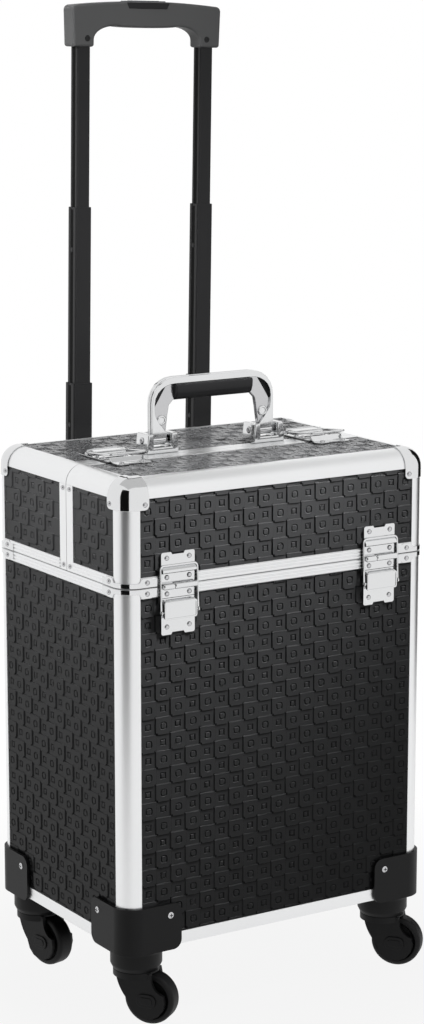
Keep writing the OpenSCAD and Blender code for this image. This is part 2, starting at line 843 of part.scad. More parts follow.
// A caster's yoke: stem, swivel disc, two cheeks that straddle the wheel, and the axle
module caster_fork() {
    inner = wheel_w / 2 + cheek_gap;
    outer = inner + cheek_t;
    difference() {
        union() {
            translate([0, 0, fork_top_z - disc_h]) cylinder(h = disc_h, r = disc_r);
            translate([0, outer, 0]) rotate([90, 0, 0]) linear_extrude(2 * outer) polygon(cheek_outline());
        }
        translate([caster_trail, inner, wheel_r]) rotate([90, 0, 0])
            cylinder(h = 2 * inner, r = wheel_r + hood_gap);
    }
    translate([0, 0, fork_top_z - 1]) cylinder(h = stem_len + 1, r = stem_r);
    translate([caster_trail, outer - 1, wheel_r]) rotate([90, 0, 0]) cylinder(h = 2 * outer - 2, r = axle_r);
}

// One side of a wheel's profile, from its bore out to the middle of its tread
function wheel_side(half) = concat(
    [[axle_r + run_fit, half], [axle_r + 4, half], [axle_r + 5, half - hub_sink],
     [wheel_r - tyre_round - 3, half - hub_sink], [wheel_r - tyre_round - 1, half]],
    arc(wheel_r - tyre_round, half - tyre_round, tyre_round, 90, 0, 4)
);

module caster_wheel() {
    side = wheel_side(wheel_w / 2);
    translate([caster_trail, 0, wheel_r]) rotate([90, 0, 0]) rotate_extrude()
        polygon(concat(side, [for (p = reversed(side)) [p[0], -p[1]]]));
}

module caster_front_left_fork() { color(black_plastic) at_caster(-1, -1) caster_fork(); }
module caster_front_right_fork() { color(black_plastic) at_caster(1, -1) caster_fork(); }
module caster_rear_left_fork() { color(black_plastic) at_caster(-1, 1) caster_fork(); }
module caster_rear_right_fork() { color(black_plastic) at_caster(1, 1) caster_fork(); }
module caster_front_left_wheel() { color(black_tube) at_caster(-1, -1) caster_wheel(); }
module caster_front_right_wheel() { color(black_tube) at_caster(1, -1) caster_wheel(); }
module caster_rear_left_wheel() { color(black_tube) at_caster(-1, 1) caster_wheel(); }
module caster_rear_right_wheel() { color(black_tube) at_caster(1, 1) caster_wheel(); }

body_front_panel();
body_back_panel();
body_side_panels();
body_floor();
body_corner_posts();
body_rim();
body_bottom_rails();
body_corner_plates();
body_rivets();
foot_brackets();
bracket_screws();
front_latch_bases();
front_hinge_pins();
rear_hinge_lower_leaves();
trolley_outer_tubes();
trolley_mounts();
front_lid_front_panel();
front_lid_top_panel();
front_lid_side_panels();
front_lid_frame();
front_lid_corner_caps();
front_lid_rivets();
front_latch_strikes();
top_latch_strikes();
rear_lid_back_panel();
rear_lid_top_panel();
rear_lid_side_panels();
rear_lid_frame();
rear_lid_corner_caps();
rear_lid_rivets();
rear_hinge_upper_leaves();
rear_hinge_pins();
top_latch_bases();
handle_feet();
carry_handle_frame();
carry_handle_grip();
front_latch_left_lever();
front_latch_right_lever();
front_latch_left_bail_pin();
front_latch_right_bail_pin();
front_latch_left_bail();
front_latch_right_bail();
top_latch_left_lever();
top_latch_right_lever();
top_latch_left_bail();
top_latch_right_bail();
trolley_lower_tubes();
trolley_middle_tubes();
trolley_upper_tubes();
trolley_grip();
grip_button();
caster_front_left_fork();
caster_front_right_fork();
caster_rear_left_fork();
caster_rear_right_fork();
caster_front_left_wheel();
caster_front_right_wheel();
caster_rear_left_wheel();
caster_rear_right_wheel();
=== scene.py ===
"""Looks of a rolling makeup case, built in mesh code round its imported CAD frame."""
import json
import math

import bmesh
import bpy
from mathutils import Matrix, Vector


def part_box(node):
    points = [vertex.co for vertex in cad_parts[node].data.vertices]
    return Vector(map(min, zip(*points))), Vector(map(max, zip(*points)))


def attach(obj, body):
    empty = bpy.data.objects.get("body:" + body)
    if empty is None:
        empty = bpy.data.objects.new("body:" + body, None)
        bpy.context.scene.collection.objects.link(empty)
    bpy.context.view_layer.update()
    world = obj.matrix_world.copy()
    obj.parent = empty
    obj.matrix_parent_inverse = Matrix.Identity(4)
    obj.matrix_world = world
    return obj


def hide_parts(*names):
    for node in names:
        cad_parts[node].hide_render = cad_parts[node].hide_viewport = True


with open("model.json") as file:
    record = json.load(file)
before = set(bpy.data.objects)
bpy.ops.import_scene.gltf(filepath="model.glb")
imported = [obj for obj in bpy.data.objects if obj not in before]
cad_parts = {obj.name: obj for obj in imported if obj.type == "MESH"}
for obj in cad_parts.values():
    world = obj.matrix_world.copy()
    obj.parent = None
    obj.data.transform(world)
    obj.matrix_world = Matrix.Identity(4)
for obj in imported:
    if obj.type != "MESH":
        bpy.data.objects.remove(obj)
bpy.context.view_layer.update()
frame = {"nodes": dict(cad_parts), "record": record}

# Sizes are in millimetres until a mesh is made
MM = 0.001
X, Y, Z = Vector((1, 0, 0)), Vector((0, 1, 0)), Vector((0, 0, 1))


def box_mm(node):
    """Lowest and highest corner of a CAD node, in millimetres"""
    low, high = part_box(node)
    return low / MM, high / MM


# Planes of the case, read from the frame
SPLIT_GAP = 0.6
posts_low, posts_high = box_mm("body_corner_posts")
rear_low, rear_high = box_mm("rear_lid_frame")
lid_panel_low, lid_panel_high = box_mm("front_lid_front_panel")
panel_low, panel_high = box_mm("body_front_panel")
HALF_W, HALF_D = posts_high.x, posts_high.y
BASE_Z, TOP_Z = posts_low.z, rear_high.z
SPLIT_Z = rear_low.z - SPLIT_GAP / 2
SEAM_Y = rear_low.y - SPLIT_GAP / 2
MID_X, PANEL_T = panel_high.x, panel_high.y - panel_low.y
EDGE_R = HALF_W - MID_X
MID_Y = HALF_D - EDGE_R
LID_LOW, LID_HIGH = lid_panel_low.z, lid_panel_high.z
RIM_H = LID_LOW - SPLIT_Z
SEAM_RIM = box_mm("rear_lid_top_panel")[0].y - rear_low.y
LIDS = {"front_lid": -1, "rear_lid": 1}


def band(low, high, n):
    """Faces between two rings of n points, from the number of each ring's first point"""
    return [[low + i, low + (i + 1) % n, high + (i + 1) % n, high + i] for i in range(n)]


def circle(steps):
    """Angles that share out a full turn"""
    return [2 * math.pi * i / steps for i in range(steps)]


class Shape:
    """Vertices in millimetres, with faces and the material number of each, gathered into one mesh"""

    def __init__(self):
        self.verts = []
        self.faces = []
        self.tints = []

    def add(self, verts, faces, place=Matrix(), tint=0):
        start = len(self.verts)
        self.verts += [place @ Vector(v) for v in verts]
        self.faces += [[start + i for i in f] for f in faces]
        self.tints += [tint] * len(faces)

    def prism(self, outline, low, high, place=Matrix(), tint=0):
        """A closed slab: an outline of (x, y) points between two heights"""
        n = len(outline)
        verts = [(x, y, z) for z in (low, high) for x, y in outline]
        faces = [list(range(n))[::-1], list(range(n, 2 * n))]
        self.add(verts, faces + band(0, n, n), place, tint)

    def skin(self, rings, place=Matrix(), caps=True):
        """A skin through closed rings that all have the same number of points"""
        n = len(rings[0])
        verts = [p for ring in rings for p in ring]
        faces = []
        for k in range(len(rings) - 1):
            faces += band(k * n, (k + 1) * n, n)
        if caps:
            faces += [list(range(n))[::-1], list(range((len(rings) - 1) * n, len(rings) * n))]
        self.add(verts, faces, place)

    def lathe(self, profile, place=Matrix(), turns=20):
        """A turned solid from (radius, height) points, closed flat at both ends"""
        rings = [[(r * math.cos(a), r * math.sin(a), z) for a in circle(turns)] for r, z in profile]
        self.skin(rings, place)

    def tube(self, path, radius, place=Matrix(), sides=10):
        """A round wire along a path of points"""
        points = [Vector(p) for p in path]
        rings = []
        side = None
        for i, p in enumerate(points):
            ahead = points[min(i + 1, len(points) - 1)]
            behind = points[max(i - 1, 0)]
            along = (ahead - behind).normalized()
            if side is None:
                side = along.orthogonal().normalized()
            side = (side - along * side.dot(along)).normalized()
            up = along.cross(side)
            rings.append([p + radius * (math.cos(a) * side + math.sin(a) * up) for a in circle(sides)])
        self.skin(rings, place)

    def sheet(self, grid, place=Matrix()):
        """An open skin through rows of points"""
        n = len(grid[0])
        verts = [p for row in grid for p in row]
        firsts = [r * n + i for r in range(len(grid) - 1) for i in range(n - 1)]
        self.add(verts, [[k, k + 1, k + n + 1, k + n] for k in firsts], place)


def axes(origin, x, y, z):
    """The matrix that takes x, y and z of a drawing to three directions from an origin"""
    place = Matrix((x, y, z)).transposed().to_4x4()
    place.translation = Vector(origin)
    return place


def facing_x(place, at=(0, 0, 0), face=1):
    """Stands a drawing up along y and z, to thicken along x, or against x where face is -1"""
    return place @ axes(at, Y, Z, face * X)


def facing_y(place, at=(0, 0, 0), face=1):
    """Stands a drawing up along x and z, to thicken along y, or against y where face is -1"""
    return place @ axes(at, X, Z, face * Y)


def arc(cx, cy, r, start, end, steps=6):
    """Points of a circle's arc between two angles in degrees"""
    angles = [math.radians(start + (end - start) * i / steps) for i in range(steps + 1)]
    return [(cx + r * math.cos(a), cy + r * math.sin(a)) for a in angles]


def oval(cx, cy, rx, ry, start, end, steps):
    """Points of an oval's arc between two angles in degrees"""
    return [(cx + rx * x, cy + ry * y) for x, y in arc(0, 0, 1, start, end, steps)]


def rounded(half_x, half_y, r, steps=4):
    """Outline of a rounded rectangle about the origin"""
    corners = ((1, 1, 0), (-1, 1, 90), (-1, -1, 180), (1, -1, 270))
    return [
        p
        for sx, sy, start in corners
        for p in arc(sx * (half_x - r), sy * (half_y - r), r, start, start + 90, steps)
    ]


def moved(points, dx, dy):
    return [(x + dx, y + dy) for x, y in points]


def mirrored(right):
    """A whole outline from the points of its right half"""
    return right + [(-x, y) for x, y in reversed(right)]


def ring_wall(shape, place, outer, inner, low, high):
    """A wall between two outlines with the same number of points"""
    rings = [[(x, y, z) for x, y in outline] for outline, z in (
        (outer, low), (outer, high), (inner, high), (inner, low), (outer, low))]
    shape.skin(rings, place, caps=False)


# Materials

BROAD_SCALE, BROAD_DETAIL = 14.0, 2.0
GRAIN_LOW, GRAIN_HIGH = 0.3, 0.7
LEAST_ROUGH = 0.02
BUMP_STRENGTH = 0.6
# Sockets of a Mix node that mixes colours
MIX_A, MIX_B, MIX_RESULT = 6, 7, 2


def set_inputs(node, values):
    for socket, value in values.items():
        node.inputs[socket].default_value = value


def add_node(tree, kind, values=None):
    """A new shader node with some of its inputs set"""
    node = tree.nodes.new("ShaderNode" + kind)
    set_inputs(node, values or {})
    return node


def noise(tree, coord, scale, detail=3.0):
    node = add_node(tree, "TexNoise", {"Scale": scale, "Detail": detail})
    tree.links.new(coord.outputs["Object"], node.inputs["Vector"])
    return node


def material(name, tone, rough, metal=0.0, specular=0.5, grain=900.0, relief=0.05, spread=0.06, shade=0.12):
    """A surface whose colour and roughness drift and whose relief, in millimetres, follows a fine grain"""
    mat = bpy.data.materials.new(name)
    mat.use_nodes = True
    tree = mat.node_tree
    link = tree.links.new
    shader = tree.nodes["Principled BSDF"]
    set_inputs(shader, {"Metallic": metal, "Specular IOR Level": specular})
    coord = add_node(tree, "TexCoord")
    fine = noise(tree, coord, grain)
    broad = noise(tree, coord, BROAD_SCALE, BROAD_DETAIL)

    mix = add_node(tree, "Mix")
    mix.data_type = "RGBA"
    darker, lighter = ([c * (1 + drift) for c in tone] + [1] for drift in (-shade, shade))
    set_inputs(mix, {MIX_A: darker, MIX_B: lighter})
    link(broad.outputs["Fac"], mix.inputs[0])
    link(mix.outputs[MIX_RESULT], shader.inputs["Base Color"])

    smooth, dull = max(rough - spread, LEAST_ROUGH), rough + spread
    remap = add_node(
        tree, "MapRange", {"From Min": GRAIN_LOW, "From Max": GRAIN_HIGH, "To Min": smooth, "To Max": dull})
    link(fine.outputs["Fac"], remap.inputs["Value"])
    link(remap.outputs["Result"], shader.inputs["Roughness"])

    bump = add_node(tree, "Bump", {"Strength": BUMP_STRENGTH, "Distance": relief * MM})
    link(fine.outputs["Fac"], bump.inputs["Height"])
    link(bump.outputs["Normal"], shader.inputs["Normal"])
    return mat


PANEL = material("embossed_panel", (0.055, 0.0555, 0.057), 0.20, specular=0.08, grain=1100.0, relief=0.03)
LINING = material("lining", (0.028, 0.028, 0.030), 0.85, specular=0.2, grain=1600.0, relief=0.25, shade=0.2)
ALUMINIUM = material(
    "aluminium", (0.86, 0.865, 0.87), 0.34, metal=1.0, grain=2600.0, relief=0.012, shade=0.02)
CHROME = material(
    "chrome", (0.73, 0.735, 0.74), 0.08, metal=1.0, grain=300.0, relief=0.006, spread=0.03, shade=0.02)
SATIN = material("satin_chrome", (0.56, 0.56, 0.57), 0.16, metal=1.0, grain=1800.0, relief=0.01, shade=0.03)
PLASTIC = material("black_plastic", (0.009, 0.009, 0.0095), 0.48, specular=0.22, grain=1900.0, relief=0.06)
GRIP = material("grip_plastic", (0.060, 0.0605, 0.061), 0.50, specular=0.3, grain=1700.0, relief=0.08)
TUBE = material("black_tube", (0.012, 0.012, 0.0125), 0.34, specular=0.15, grain=1500.0, relief=0.02)
# Near-black strips laid in each tube's groove: painted shade of the groove
GROOVE_SHADE = material("tube_groove_shade", (0.003, 0.003, 0.003), 0.6, specular=0.05, grain=1500.0, relief=0.02)
TYRE = material("tyre", (0.009, 0.009, 0.0095), 0.55, specular=0.25, grain=1400.0, relief=0.06)

# Making pieces

WELD, JOIN, SPECK = 0.005, 0.002, 0.001
BEVEL_ANGLE, SHARP_ANGLE = math.radians(35), math.radians(20)


def soften(obj, width, segments=2):
    """Rounds an object's sharp edges by a width in millimetres"""
    weld = obj.modifiers.new("weld", "WELD")
    weld.merge_threshold = WELD * MM
    if width:
        bevel = obj.modifiers.new("bevel", "BEVEL")
        bevel.width = width * MM
        bevel.segments = segments
        bevel.limit_method = "ANGLE"
        bevel.angle_limit = BEVEL_ANGLE
    obj.modifiers.new("normals", "WEIGHTED_NORMAL").keep_sharp = True
    obj.data.polygons.foreach_set("use_smooth", [True] * len(obj.data.polygons))


def piece(name, shape, body, mats, replaces=(), bevel=0.3, segments=2, shell=0.0, drawn=False):
    """Makes a shape into a piece that rides on a body; shell thickens an open sheet inwards"""
    mesh = bpy.data.meshes.new(name)
    mesh.from_pydata([v * MM for v in shape.verts], [], shape.faces)
    mats = mats if isinstance(mats, tuple) else (mats,)
    for mat in mats:
        mesh.materials.append(mat)
    mesh.polygons.foreach_set("material_index", shape.tints)
    bm = bmesh.new()
    bm.from_mesh(mesh)
    bmesh.ops.dissolve_degenerate(bm, dist=SPECK * MM, edges=bm.edges)
    if not drawn:
        bmesh.ops.remove_doubles(bm, verts=bm.verts, dist=JOIN * MM)
        bmesh.ops.recalc_face_normals(bm, faces=bm.faces)
    bm.to_mesh(mesh)
    bm.free()
    obj = bpy.data.objects.new(name, mesh)
    bpy.context.scene.collection.objects.link(obj)
    if shell:
        solid = obj.modifiers.new("shell", "SOLIDIFY")
        solid.thickness = shell * MM
        solid.offset = -1
    if drawn:
        mesh.set_sharp_from_angle(angle=SHARP_ANGLE)
        mesh.polygons.foreach_set("use_smooth", [True] * len(mesh.polygons))
    else:
        soften(obj, bevel, segments)
    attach(obj, body)
    if replaces:
        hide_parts(*replaces)
    return obj


def dress(node, mat, bevel, segments=2):
    """Gives a CAD node that stays in view its material and its rounded edges"""
    obj = frame["nodes"][node]
    obj.data.materials.clear()
    obj.data.materials.append(mat)
    soften(obj, bevel, segments)


# Embossed panels: raised squares with a round dent, alternating with flat ones with a square dent

CELL = 16.0
SLACK = 0.01
REACH = 0.9
RAISE = 1.05
SKIRT = 0.85
SINK = 1.05
GROOVE = 0.8
ROUND_DENT = (3.9, 3.0, 2.1)
SQUARE_DENT = (3.3, 2.5, 1.7)
ROUNDNESS = 0.62
FOOT_LAP = 0.02
BOARD_GAP = 0.1


def zip_loops(outer, inner):
    """Triangles between two loops given as (angle, index) round the same middle, both counterclockwise"""
    outer, inner = sorted(outer), sorted(inner)
    i = j = 0
    faces = []
    while i < len(outer) or j < len(inner):
        a, b = outer[i % len(outer)][1], inner[j % len(inner)][1]
        turn_i = outer[i][0] if i < len(outer) else math.inf
        turn_j = inner[j][0] if j < len(inner) else math.inf
        if turn_i <= turn_j:
            faces.append([a, outer[(i + 1) % len(outer)][1], b])
            i += 1
        else:
            faces.append([a, inner[(j + 1) % len(inner)][1], b])
            j += 1
    return faces


def dent(verts, faces, middle, outlines, level):
    """A ring-shaped groove; returns its outer loop as (angle, index)"""
    start = len(verts)
    n = len(outlines[0])
    for outline, z in zip(outlines, (level, level - GROOVE, level)):
        verts += [(x, y, z) for x, y in moved(outline, *middle)]
    faces += band(start, start + n, n) + band(start + n, start + 2 * n, n)
    faces.append([start + 2 * n + i for i in range(n)])
    return [(math.atan2(y, x), start + i) for i, (x, y) in enumerate(outlines[0])]


def raised_outline(low_x, high_x, low_y, high_y, inset):
    """A raised square's outline, notched at its two lower corners to meet its neighbours' upper ones"""
    left, right = low_x - REACH + inset, high_x + REACH - inset
    low, high = low_y - REACH + inset, high_y + REACH - inset
    notch = 2 * REACH
    return [
        (left + notch, low), (right - notch, low), (right - notch, low + notch), (right, low + notch),
        (right, high), (left, high), (left, low + notch), (left + notch, low + notch),
    ]


def emboss_cell(shape, place, bounds, cell, raised):
    """One square of the pattern, cut off at the panel's bounds"""
    (low_x, low_y), (width, height) = cell, bounds
    high_x, high_y = low_x + CELL, low_y + CELL
    inside = low_x > -SLACK and low_y > -SLACK and high_x < width + SLACK and high_y < height + SLACK
    middle = (low_x + CELL / 2, low_y + CELL / 2)
    level = RAISE - SINK if raised else -SINK
    verts, faces = [], []

    def clip(points):
        return [(min(max(x, 0), width), min(max(y, 0), height)) for x, y in points]

    if raised:
        foot = clip(raised_outline(low_x, high_x, low_y, high_y, 0))
        rim = clip(raised_outline(low_x, high_x, low_y, high_y, SKIRT))
        verts += [(x, y, -SINK - FOOT_LAP) for x, y in foot] + [(x, y, level) for x, y in rim]
        n = len(foot)
        faces += band(0, n, n)
        loop = list(range(n, 2 * n))
        outlines = [rounded(r, r, ROUNDNESS * r, 2) for r in ROUND_DENT]
    else:
        rim = clip([(low_x, low_y), (high_x, low_y), (high_x, high_y), (low_x, high_y)])
        verts += [(x, y, level) for x, y in rim]
        loop = list(range(4))
        outlines = [[(r, -r), (r, r), (-r, r), (-r, -r)] for r in SQUARE_DENT]
    if inside:
        ring = dent(verts, faces, middle, outlines, level)
        around = [(math.atan2(verts[i][1] - middle[1], verts[i][0] - middle[0]), i) for i in loop]
        faces += zip_loops(around, ring)
    else:
        faces.append(loop)
    shape.add(verts, faces, place)


def emboss(shape, place, width, height):
    """One panel, drawn with x across, y up and z outwards from its outer plane, and its lining behind it"""
    columns, full_rows = math.ceil(width / CELL - SLACK), math.floor(height / CELL)
    start_x = (width - columns * CELL) / 2
    start_y = (height - full_rows * CELL) / 2 - CELL
    for row in range(full_rows + 2):
        for column in range(columns):
            cell = (start_x + column * CELL, start_y + row * CELL)
            emboss_cell(shape, place, (width, height), cell, (row + column) % 2 == 0)
    board = [(0, 0), (width, 0), (width, height), (0, height)]
    shape.prism(board, -PANEL_T, -SINK - GROOVE - BOARD_GAP, place, tint=1)


def panel_places(low, high, side):
    """Where one panel of a CAD node lies: its matrix, width and height"""
    size = high - low
    places = {
        "front": (axes(low, X, Z, -Y), size.x, size.z),
        "back": (axes((high.x, high.y, low.z), -X, Z, Y), size.x, size.z),
        "left": (axes((low.x, high.y, low.z), -Y, Z, -X), size.y, size.z),
        "right": (axes((high.x, low.y, low.z), Y, Z, X), size.y, size.z),
        "top": (axes((low.x, low.y, high.z), X, Y, Z), size.x, size.y),
    }
    return places[side]


# Each body with the start of its panels' names and the sides that have a panel of their own
PANELS = {
    "case_body": ("body", ("front", "back")),
    "front_lid": ("front_lid", ("front", "top")),
    "rear_lid": ("rear_lid", ("back", "top")),
}
for body, (start, singles) in PANELS.items():
    nodes = {f"{start}_{side}_panel": [side] for side in singles}
    nodes[f"{start}_side_panels"] = ["left", "right"]
    for node, sides in nodes.items():
        shape = Shape()
        for side in sides:
            emboss(shape, *panel_places(*box_mm(node), side))
        piece("embossed_" + node, shape, body, (PANEL, LINING), replaces=[node], drawn=True)

# Rivets and corner fittings

RIVET_R, RIVET_H = 2.5, 1.7
RIVET_RINGS = (0, 25, 50, 70, 85)
SUNK = 0.2
PLATE_T, PLATE_GAP = 1.2, 0.05
PLATE_OUT = EDGE_R + PLATE_T - 0.1
PLATE_H, BAND_H = 9.0, 4.5
EAR_LEN, EAR_ROOT, ROOT_RISE = 18.5, 1.5, 3.5
EAR_STEP, EAR_ROUND, EAR_DROP = 13.0, 3.5, 1.8
EAR_CUTS = [EAR_LEN] + [EAR_STEP - EAR_ROUND * i / 8 for i in range(9)] + [4, EAR_ROOT, 0.5]
TURN = math.pi / 2 * EDGE_R
CAP_EAR, CAP_SKIRT, CAP_EAR_R = 9.0, 10.0, 4.5
SEAM_RIVET_DROP = 4.0
RIB_STEPS = (2.0, 5.2, 8.4)
RIB_FOOT, RIB_CREST, RIB_OUT, RIB_SUNK = 1.4, 0.6, 0.7, 0.1
RIB_GAP = 0.5


def rivet(shape, place):
    """A domed head that stands on a face, with z outwards"""
    rings = [math.radians(a) for a in RIVET_RINGS]
    dome = [(RIVET_R * math.cos(a), RIVET_H * math.sin(a)) for a in rings]
    shape.lathe([(RIVET_R, -SUNK)] + dome, place, 14)


def face_spots(place, back, out, z):
    """A spot on each of the two faces of a corner, at a distance back from its post"""
    return [facing_y(place, (-back, out, z)), facing_x(place, (out, -back, z))]


def wrap(s, r):
    """A point at a distance s along a corner's outline: front face, post, then side face"""
    if s < 0:
        return (s, r)
    if s > TURN:
        return (r, TURN - s)
    angle = math.pi / 2 - s / EDGE_R
    return (r * math.cos(angle), r * math.sin(angle))


def plate_height(s):
    """Height of a corner plate: full on its ears, up to a step near their ends, and low round the post"""
    ear = max(-s, s - TURN)
    if ear > EAR_ROOT:
        over = max(ear - EAR_STEP + EAR_ROUND, 0) / EAR_ROUND
        return PLATE_H - min(EAR_ROUND * (1 - math.sqrt(max(1 - over * over, 0))), EAR_DROP)
    blend = min(max((ear - EAR_ROOT) / ROOT_RISE + 1, 0), 1)
    return BAND_H + (PLATE_H - BAND_H) * blend * blend * (3 - 2 * blend)


def corner_plate(shape, place, edge_z, up):
    """A plate round a corner, straight along the split and shaped on its far edge"""
    steps = [-e for e in EAR_CUTS] + [TURN * i / 14 for i in range(15)]
    steps += [TURN + e for e in reversed(EAR_CUTS)]
    rings = []
    for s in steps:
        low, high = edge_z, edge_z + up * plate_height(s)
        inner, outer = wrap(s, EDGE_R + PLATE_GAP), wrap(s, PLATE_OUT)
        rings.append([(*inner, low), (*outer, low), (*outer, high), (*inner, high)])
    shape.skin(rings, place)


def ball_cap(shape, place):
    """A cap over a lid's corner ball, with sleeves down the post and along both rails and two ears"""
    def ball(azimuth, elevation):
        a, e = math.radians(azimuth), math.radians(elevation)
        return Vector((math.cos(e) * math.cos(a), math.cos(e) * math.sin(a), math.sin(e))) * PLATE_OUT

    quarter = [90 * i / 8 for i in range(9)]
    shape.sheet([[ball(a, e) for a in quarter] for e in quarter], place)
    shape.sheet([[ball(a, 0) + Vector((0, 0, z)) for a in quarter] for z in (0, -CAP_SKIRT)], place)
    shape.sheet([[ball(90, e) - x * X for e in quarter] for x in (0, CAP_EAR)], place)
    shape.sheet([[ball(0, e) - y * Y for e in quarter] for y in (0, CAP_EAR)], place)
    ear = [(0, 0), (-CAP_EAR, 0)]
    ear += arc(CAP_EAR_R - CAP_EAR, CAP_EAR_R - CAP_SKIRT, CAP_EAR_R, 180, 270, 5) + [(0, -CAP_SKIRT)]
    shape.add([(a, PLATE_OUT, z) for a, z in ear], [list(range(len(ear)))], place)
    shape.add([(PLATE_OUT, a, z) for a, z in ear], [list(range(len(ear)))], place)


def rib_lines(shape, low, high, face, heights):
    """Fine sloped ribs along a rim bar, between two points of a face that looks a given way"""
    along = (high - low).normalized()
    length = (high - low).length
    section = [(-RIB_FOOT, -RIB_SUNK), (-RIB_CREST, RIB_OUT), (RIB_CREST, RIB_OUT), (RIB_FOOT, -RIB_SUNK)]
    for z in heights:
        shape.prism(section, 0, length, axes((low.x, low.y, z), Z, face, along))


lid_ribs = [SPLIT_Z + s for s in RIB_STEPS]
body_ribs = [SPLIT_Z - s for s in RIB_STEPS]
ribs = {"case_body": Shape(), "front_lid": Shape(), "rear_lid": Shape()}
for lid, sy in LIDS.items():
    ends = Vector((-MID_X, sy * HALF_D, 0)), Vector((MID_X, sy * HALF_D, 0))
    rib_lines(ribs[lid], *ends, sy * Y, lid_ribs)
    rib_lines(ribs["case_body"], *ends, sy * Y, body_ribs)
    start_y = SEAM_Y + sy * (SEAM_RIM + RIB_GAP)
    for sx in (-1, 1):
        ends = Vector((sx * HALF_W, start_y, 0)), Vector((sx * HALF_W, sy * MID_Y, 0))
        rib_lines(ribs[lid], *ends, sx * X, lid_ribs)
for sx in (-1, 1):
    ends = Vector((sx * HALF_W, -MID_Y, 0)), Vector((sx * HALF_W, MID_Y, 0))
    rib_lines(ribs["case_body"], *ends, sx * X, body_ribs)
for body, shape in ribs.items():
    piece("rim_ribs_" + body, shape, body, ALUMINIUM, bevel=0.15)

# Places of drawings that have +x and +y outwards at each corner of the case
corners = {
    (sx, sy): axes((sx * MID_X, sy * MID_Y, 0), sx * X, sy * Y, Z) for sx in (-1, 1) for sy in (-1, 1)
}
plates, rivets = Shape(), Shape()
for place in corners.values():
    corner_plate(plates, place, SPLIT_Z - SPLIT_GAP, -1)
    for spot in face_spots(place, EAR_STEP / 2, PLATE_OUT, SPLIT_Z - SPLIT_GAP - PLATE_H / 2):
        rivet(rivets, spot)
piece("body_plates", plates, "case_body", CHROME, replaces=["body_corner_plates"], bevel=0.25)
piece("body_rivet_heads", rivets, "case_body", SATIN, replaces=["body_rivets"], bevel=0)

for lid, sy in LIDS.items():
    caps, plates, rivets = Shape(), Shape(), Shape()
    seam_bar = SEAM_Y + sy * SEAM_RIM / 2
    for sx in (-1, 1):
        place = corners[sx, sy]
        ball_cap(caps, place @ Matrix.Translation((0, 0, LID_HIGH)))
        corner_plate(plates, place, SPLIT_Z + SPLIT_GAP, 1)
        spots = face_spots(place, EAR_STEP / 2, PLATE_OUT, SPLIT_Z + SPLIT_GAP + PLATE_H / 2)
        spots += face_spots(place, CAP_EAR / 2, PLATE_OUT, LID_HIGH - CAP_SKIRT / 2)
        for z in (LID_LOW - RIM_H / 2, LID_HIGH - SEAM_RIVET_DROP):
            spots.append(facing_x(Matrix(), (sx * HALF_W, seam_bar, z), sx))
        for spot in spots:
            rivet(rivets, spot)
    piece(lid + "_caps", caps, lid, CHROME, replaces=[lid + "_corner_caps"], bevel=0.25, shell=1.0)
    piece(lid + "_plates", plates, lid, CHROME, bevel=0.25)
    piece(lid + "_rivet_heads", rivets, lid, SATIN, replaces=[lid + "_rivets"], bevel=0)

for node in ("body_corner_posts", "body_rim", "body_bottom_rails", "front_lid_frame", "rear_lid_frame"):
    dress(node, ALUMINIUM, 0.5)
dress("body_floor", LINING, 0.4)

# Latches, drawn from the hinge pin: x across, y outwards, z up

PIN_OUT, PIN_R, PIN_OVER = 4.6, 1.5, 0.6
FACE = -PIN_OUT
lever_low, lever_high = box_mm("front_latch_right_lever")
LATCH_X = (lever_low.x + lever_high.x) / 2
LATCH_HALF = 18.0
SIDES = {"left": -1, "right": 1}

# Plates, with the flap as heights over the face and distances down from the crease
LEAF, LEAF_R, LEAF_GAP = (2.2, 11.4), 1.2, 0.3
CREASE = 20.0
STRIKE_TOP, BASE_BOTTOM = 31.0, -46.0
EAR_R = 2.0
NOTCH_HALF, NOTCH_D, NOTCH_SLOPE = 6.7, 2.2, 0.6
RIVET_SPREAD = 12.0
STRIKE_RIVETS, BASE_RIVETS = (25.7, 7.8), (-7.5, -38.4)
FLAP = [(1.2, 0), (1.5, 1.6), (2.1, 2.8), (3.4, 4.0), (4.6, 5.2), (4.9, 6.2), (4.9, 7.2)]
FLAP_T, FLAP_LAP = 1.1, 0.5
# Black sheets behind the latch plates: painted shade in the gaps round the plates and wires
SHADE_PAD_HALF, SHADE_PAD_T, SHADE_PAD_SUNK = 21.0, 0.7, 0.1
STRIKE_SHADE_PAD, BASE_SHADE_PAD = (0.5, 14.0), (-16.0, -0.5)

# Knuckles, with the section of the strip that joins one to its leaf
KNUCKLE_R, KNUCKLE_SPLIT, KNUCKLE_GAP = 3.0, -6.0, 0.4
STRIP = [(FACE + 0.3, 0.5), (-1.4, 0.5), (-1.4, 2.4), (FACE + PLATE_T, 3.2), (FACE + 0.3, 3.2)]

# Lever, with the sections of its cheeks and of the lugs that carry it
LEVER_Y, LEVER_Z, LEVER_LOW = -0.6, -15.0, -30.8
LEVER_TOP, LEVER_FACE = LEVER_Z + 0.9, LEVER_Y + 1.2
LEVER_HALF, LEVER_R, LEVER_T = 17.4, 2.2, 0.9
LEVER_RIM, LEVER_RIM_R, LEVER_RIM_Z = 1.3, 1.2, (0.8, 1.5)
ROLL_R, ROLL_HALF = 1.7, LEVER_HALF - 1
CHEEK_X, CHEEK_HALF_T = LEVER_HALF - 0.55, 0.5
CHEEK_Y, CHEEK_LOW = LEVER_Y + 1.5, LEVER_LOW + 1.2
CHEEK = [(CHEEK_Y, LEVER_Z), (CHEEK_Y, CHEEK_LOW), (LEVER_Y + 0.4, CHEEK_LOW), (-2.4, -26.0), (-2.4, -17.0)]
LUG_X, LUG_HALF_T, LUG_FOOT = 14.2, 0.7, FACE + 0.8
LUG = [(LUG_FOOT, -20.0), (LEVER_Y + 1.0, -19.0)] + arc(LEVER_Y, LEVER_Z, 1.9, -40, 110, 5)
LUG += [(LUG_FOOT, -12.8)]

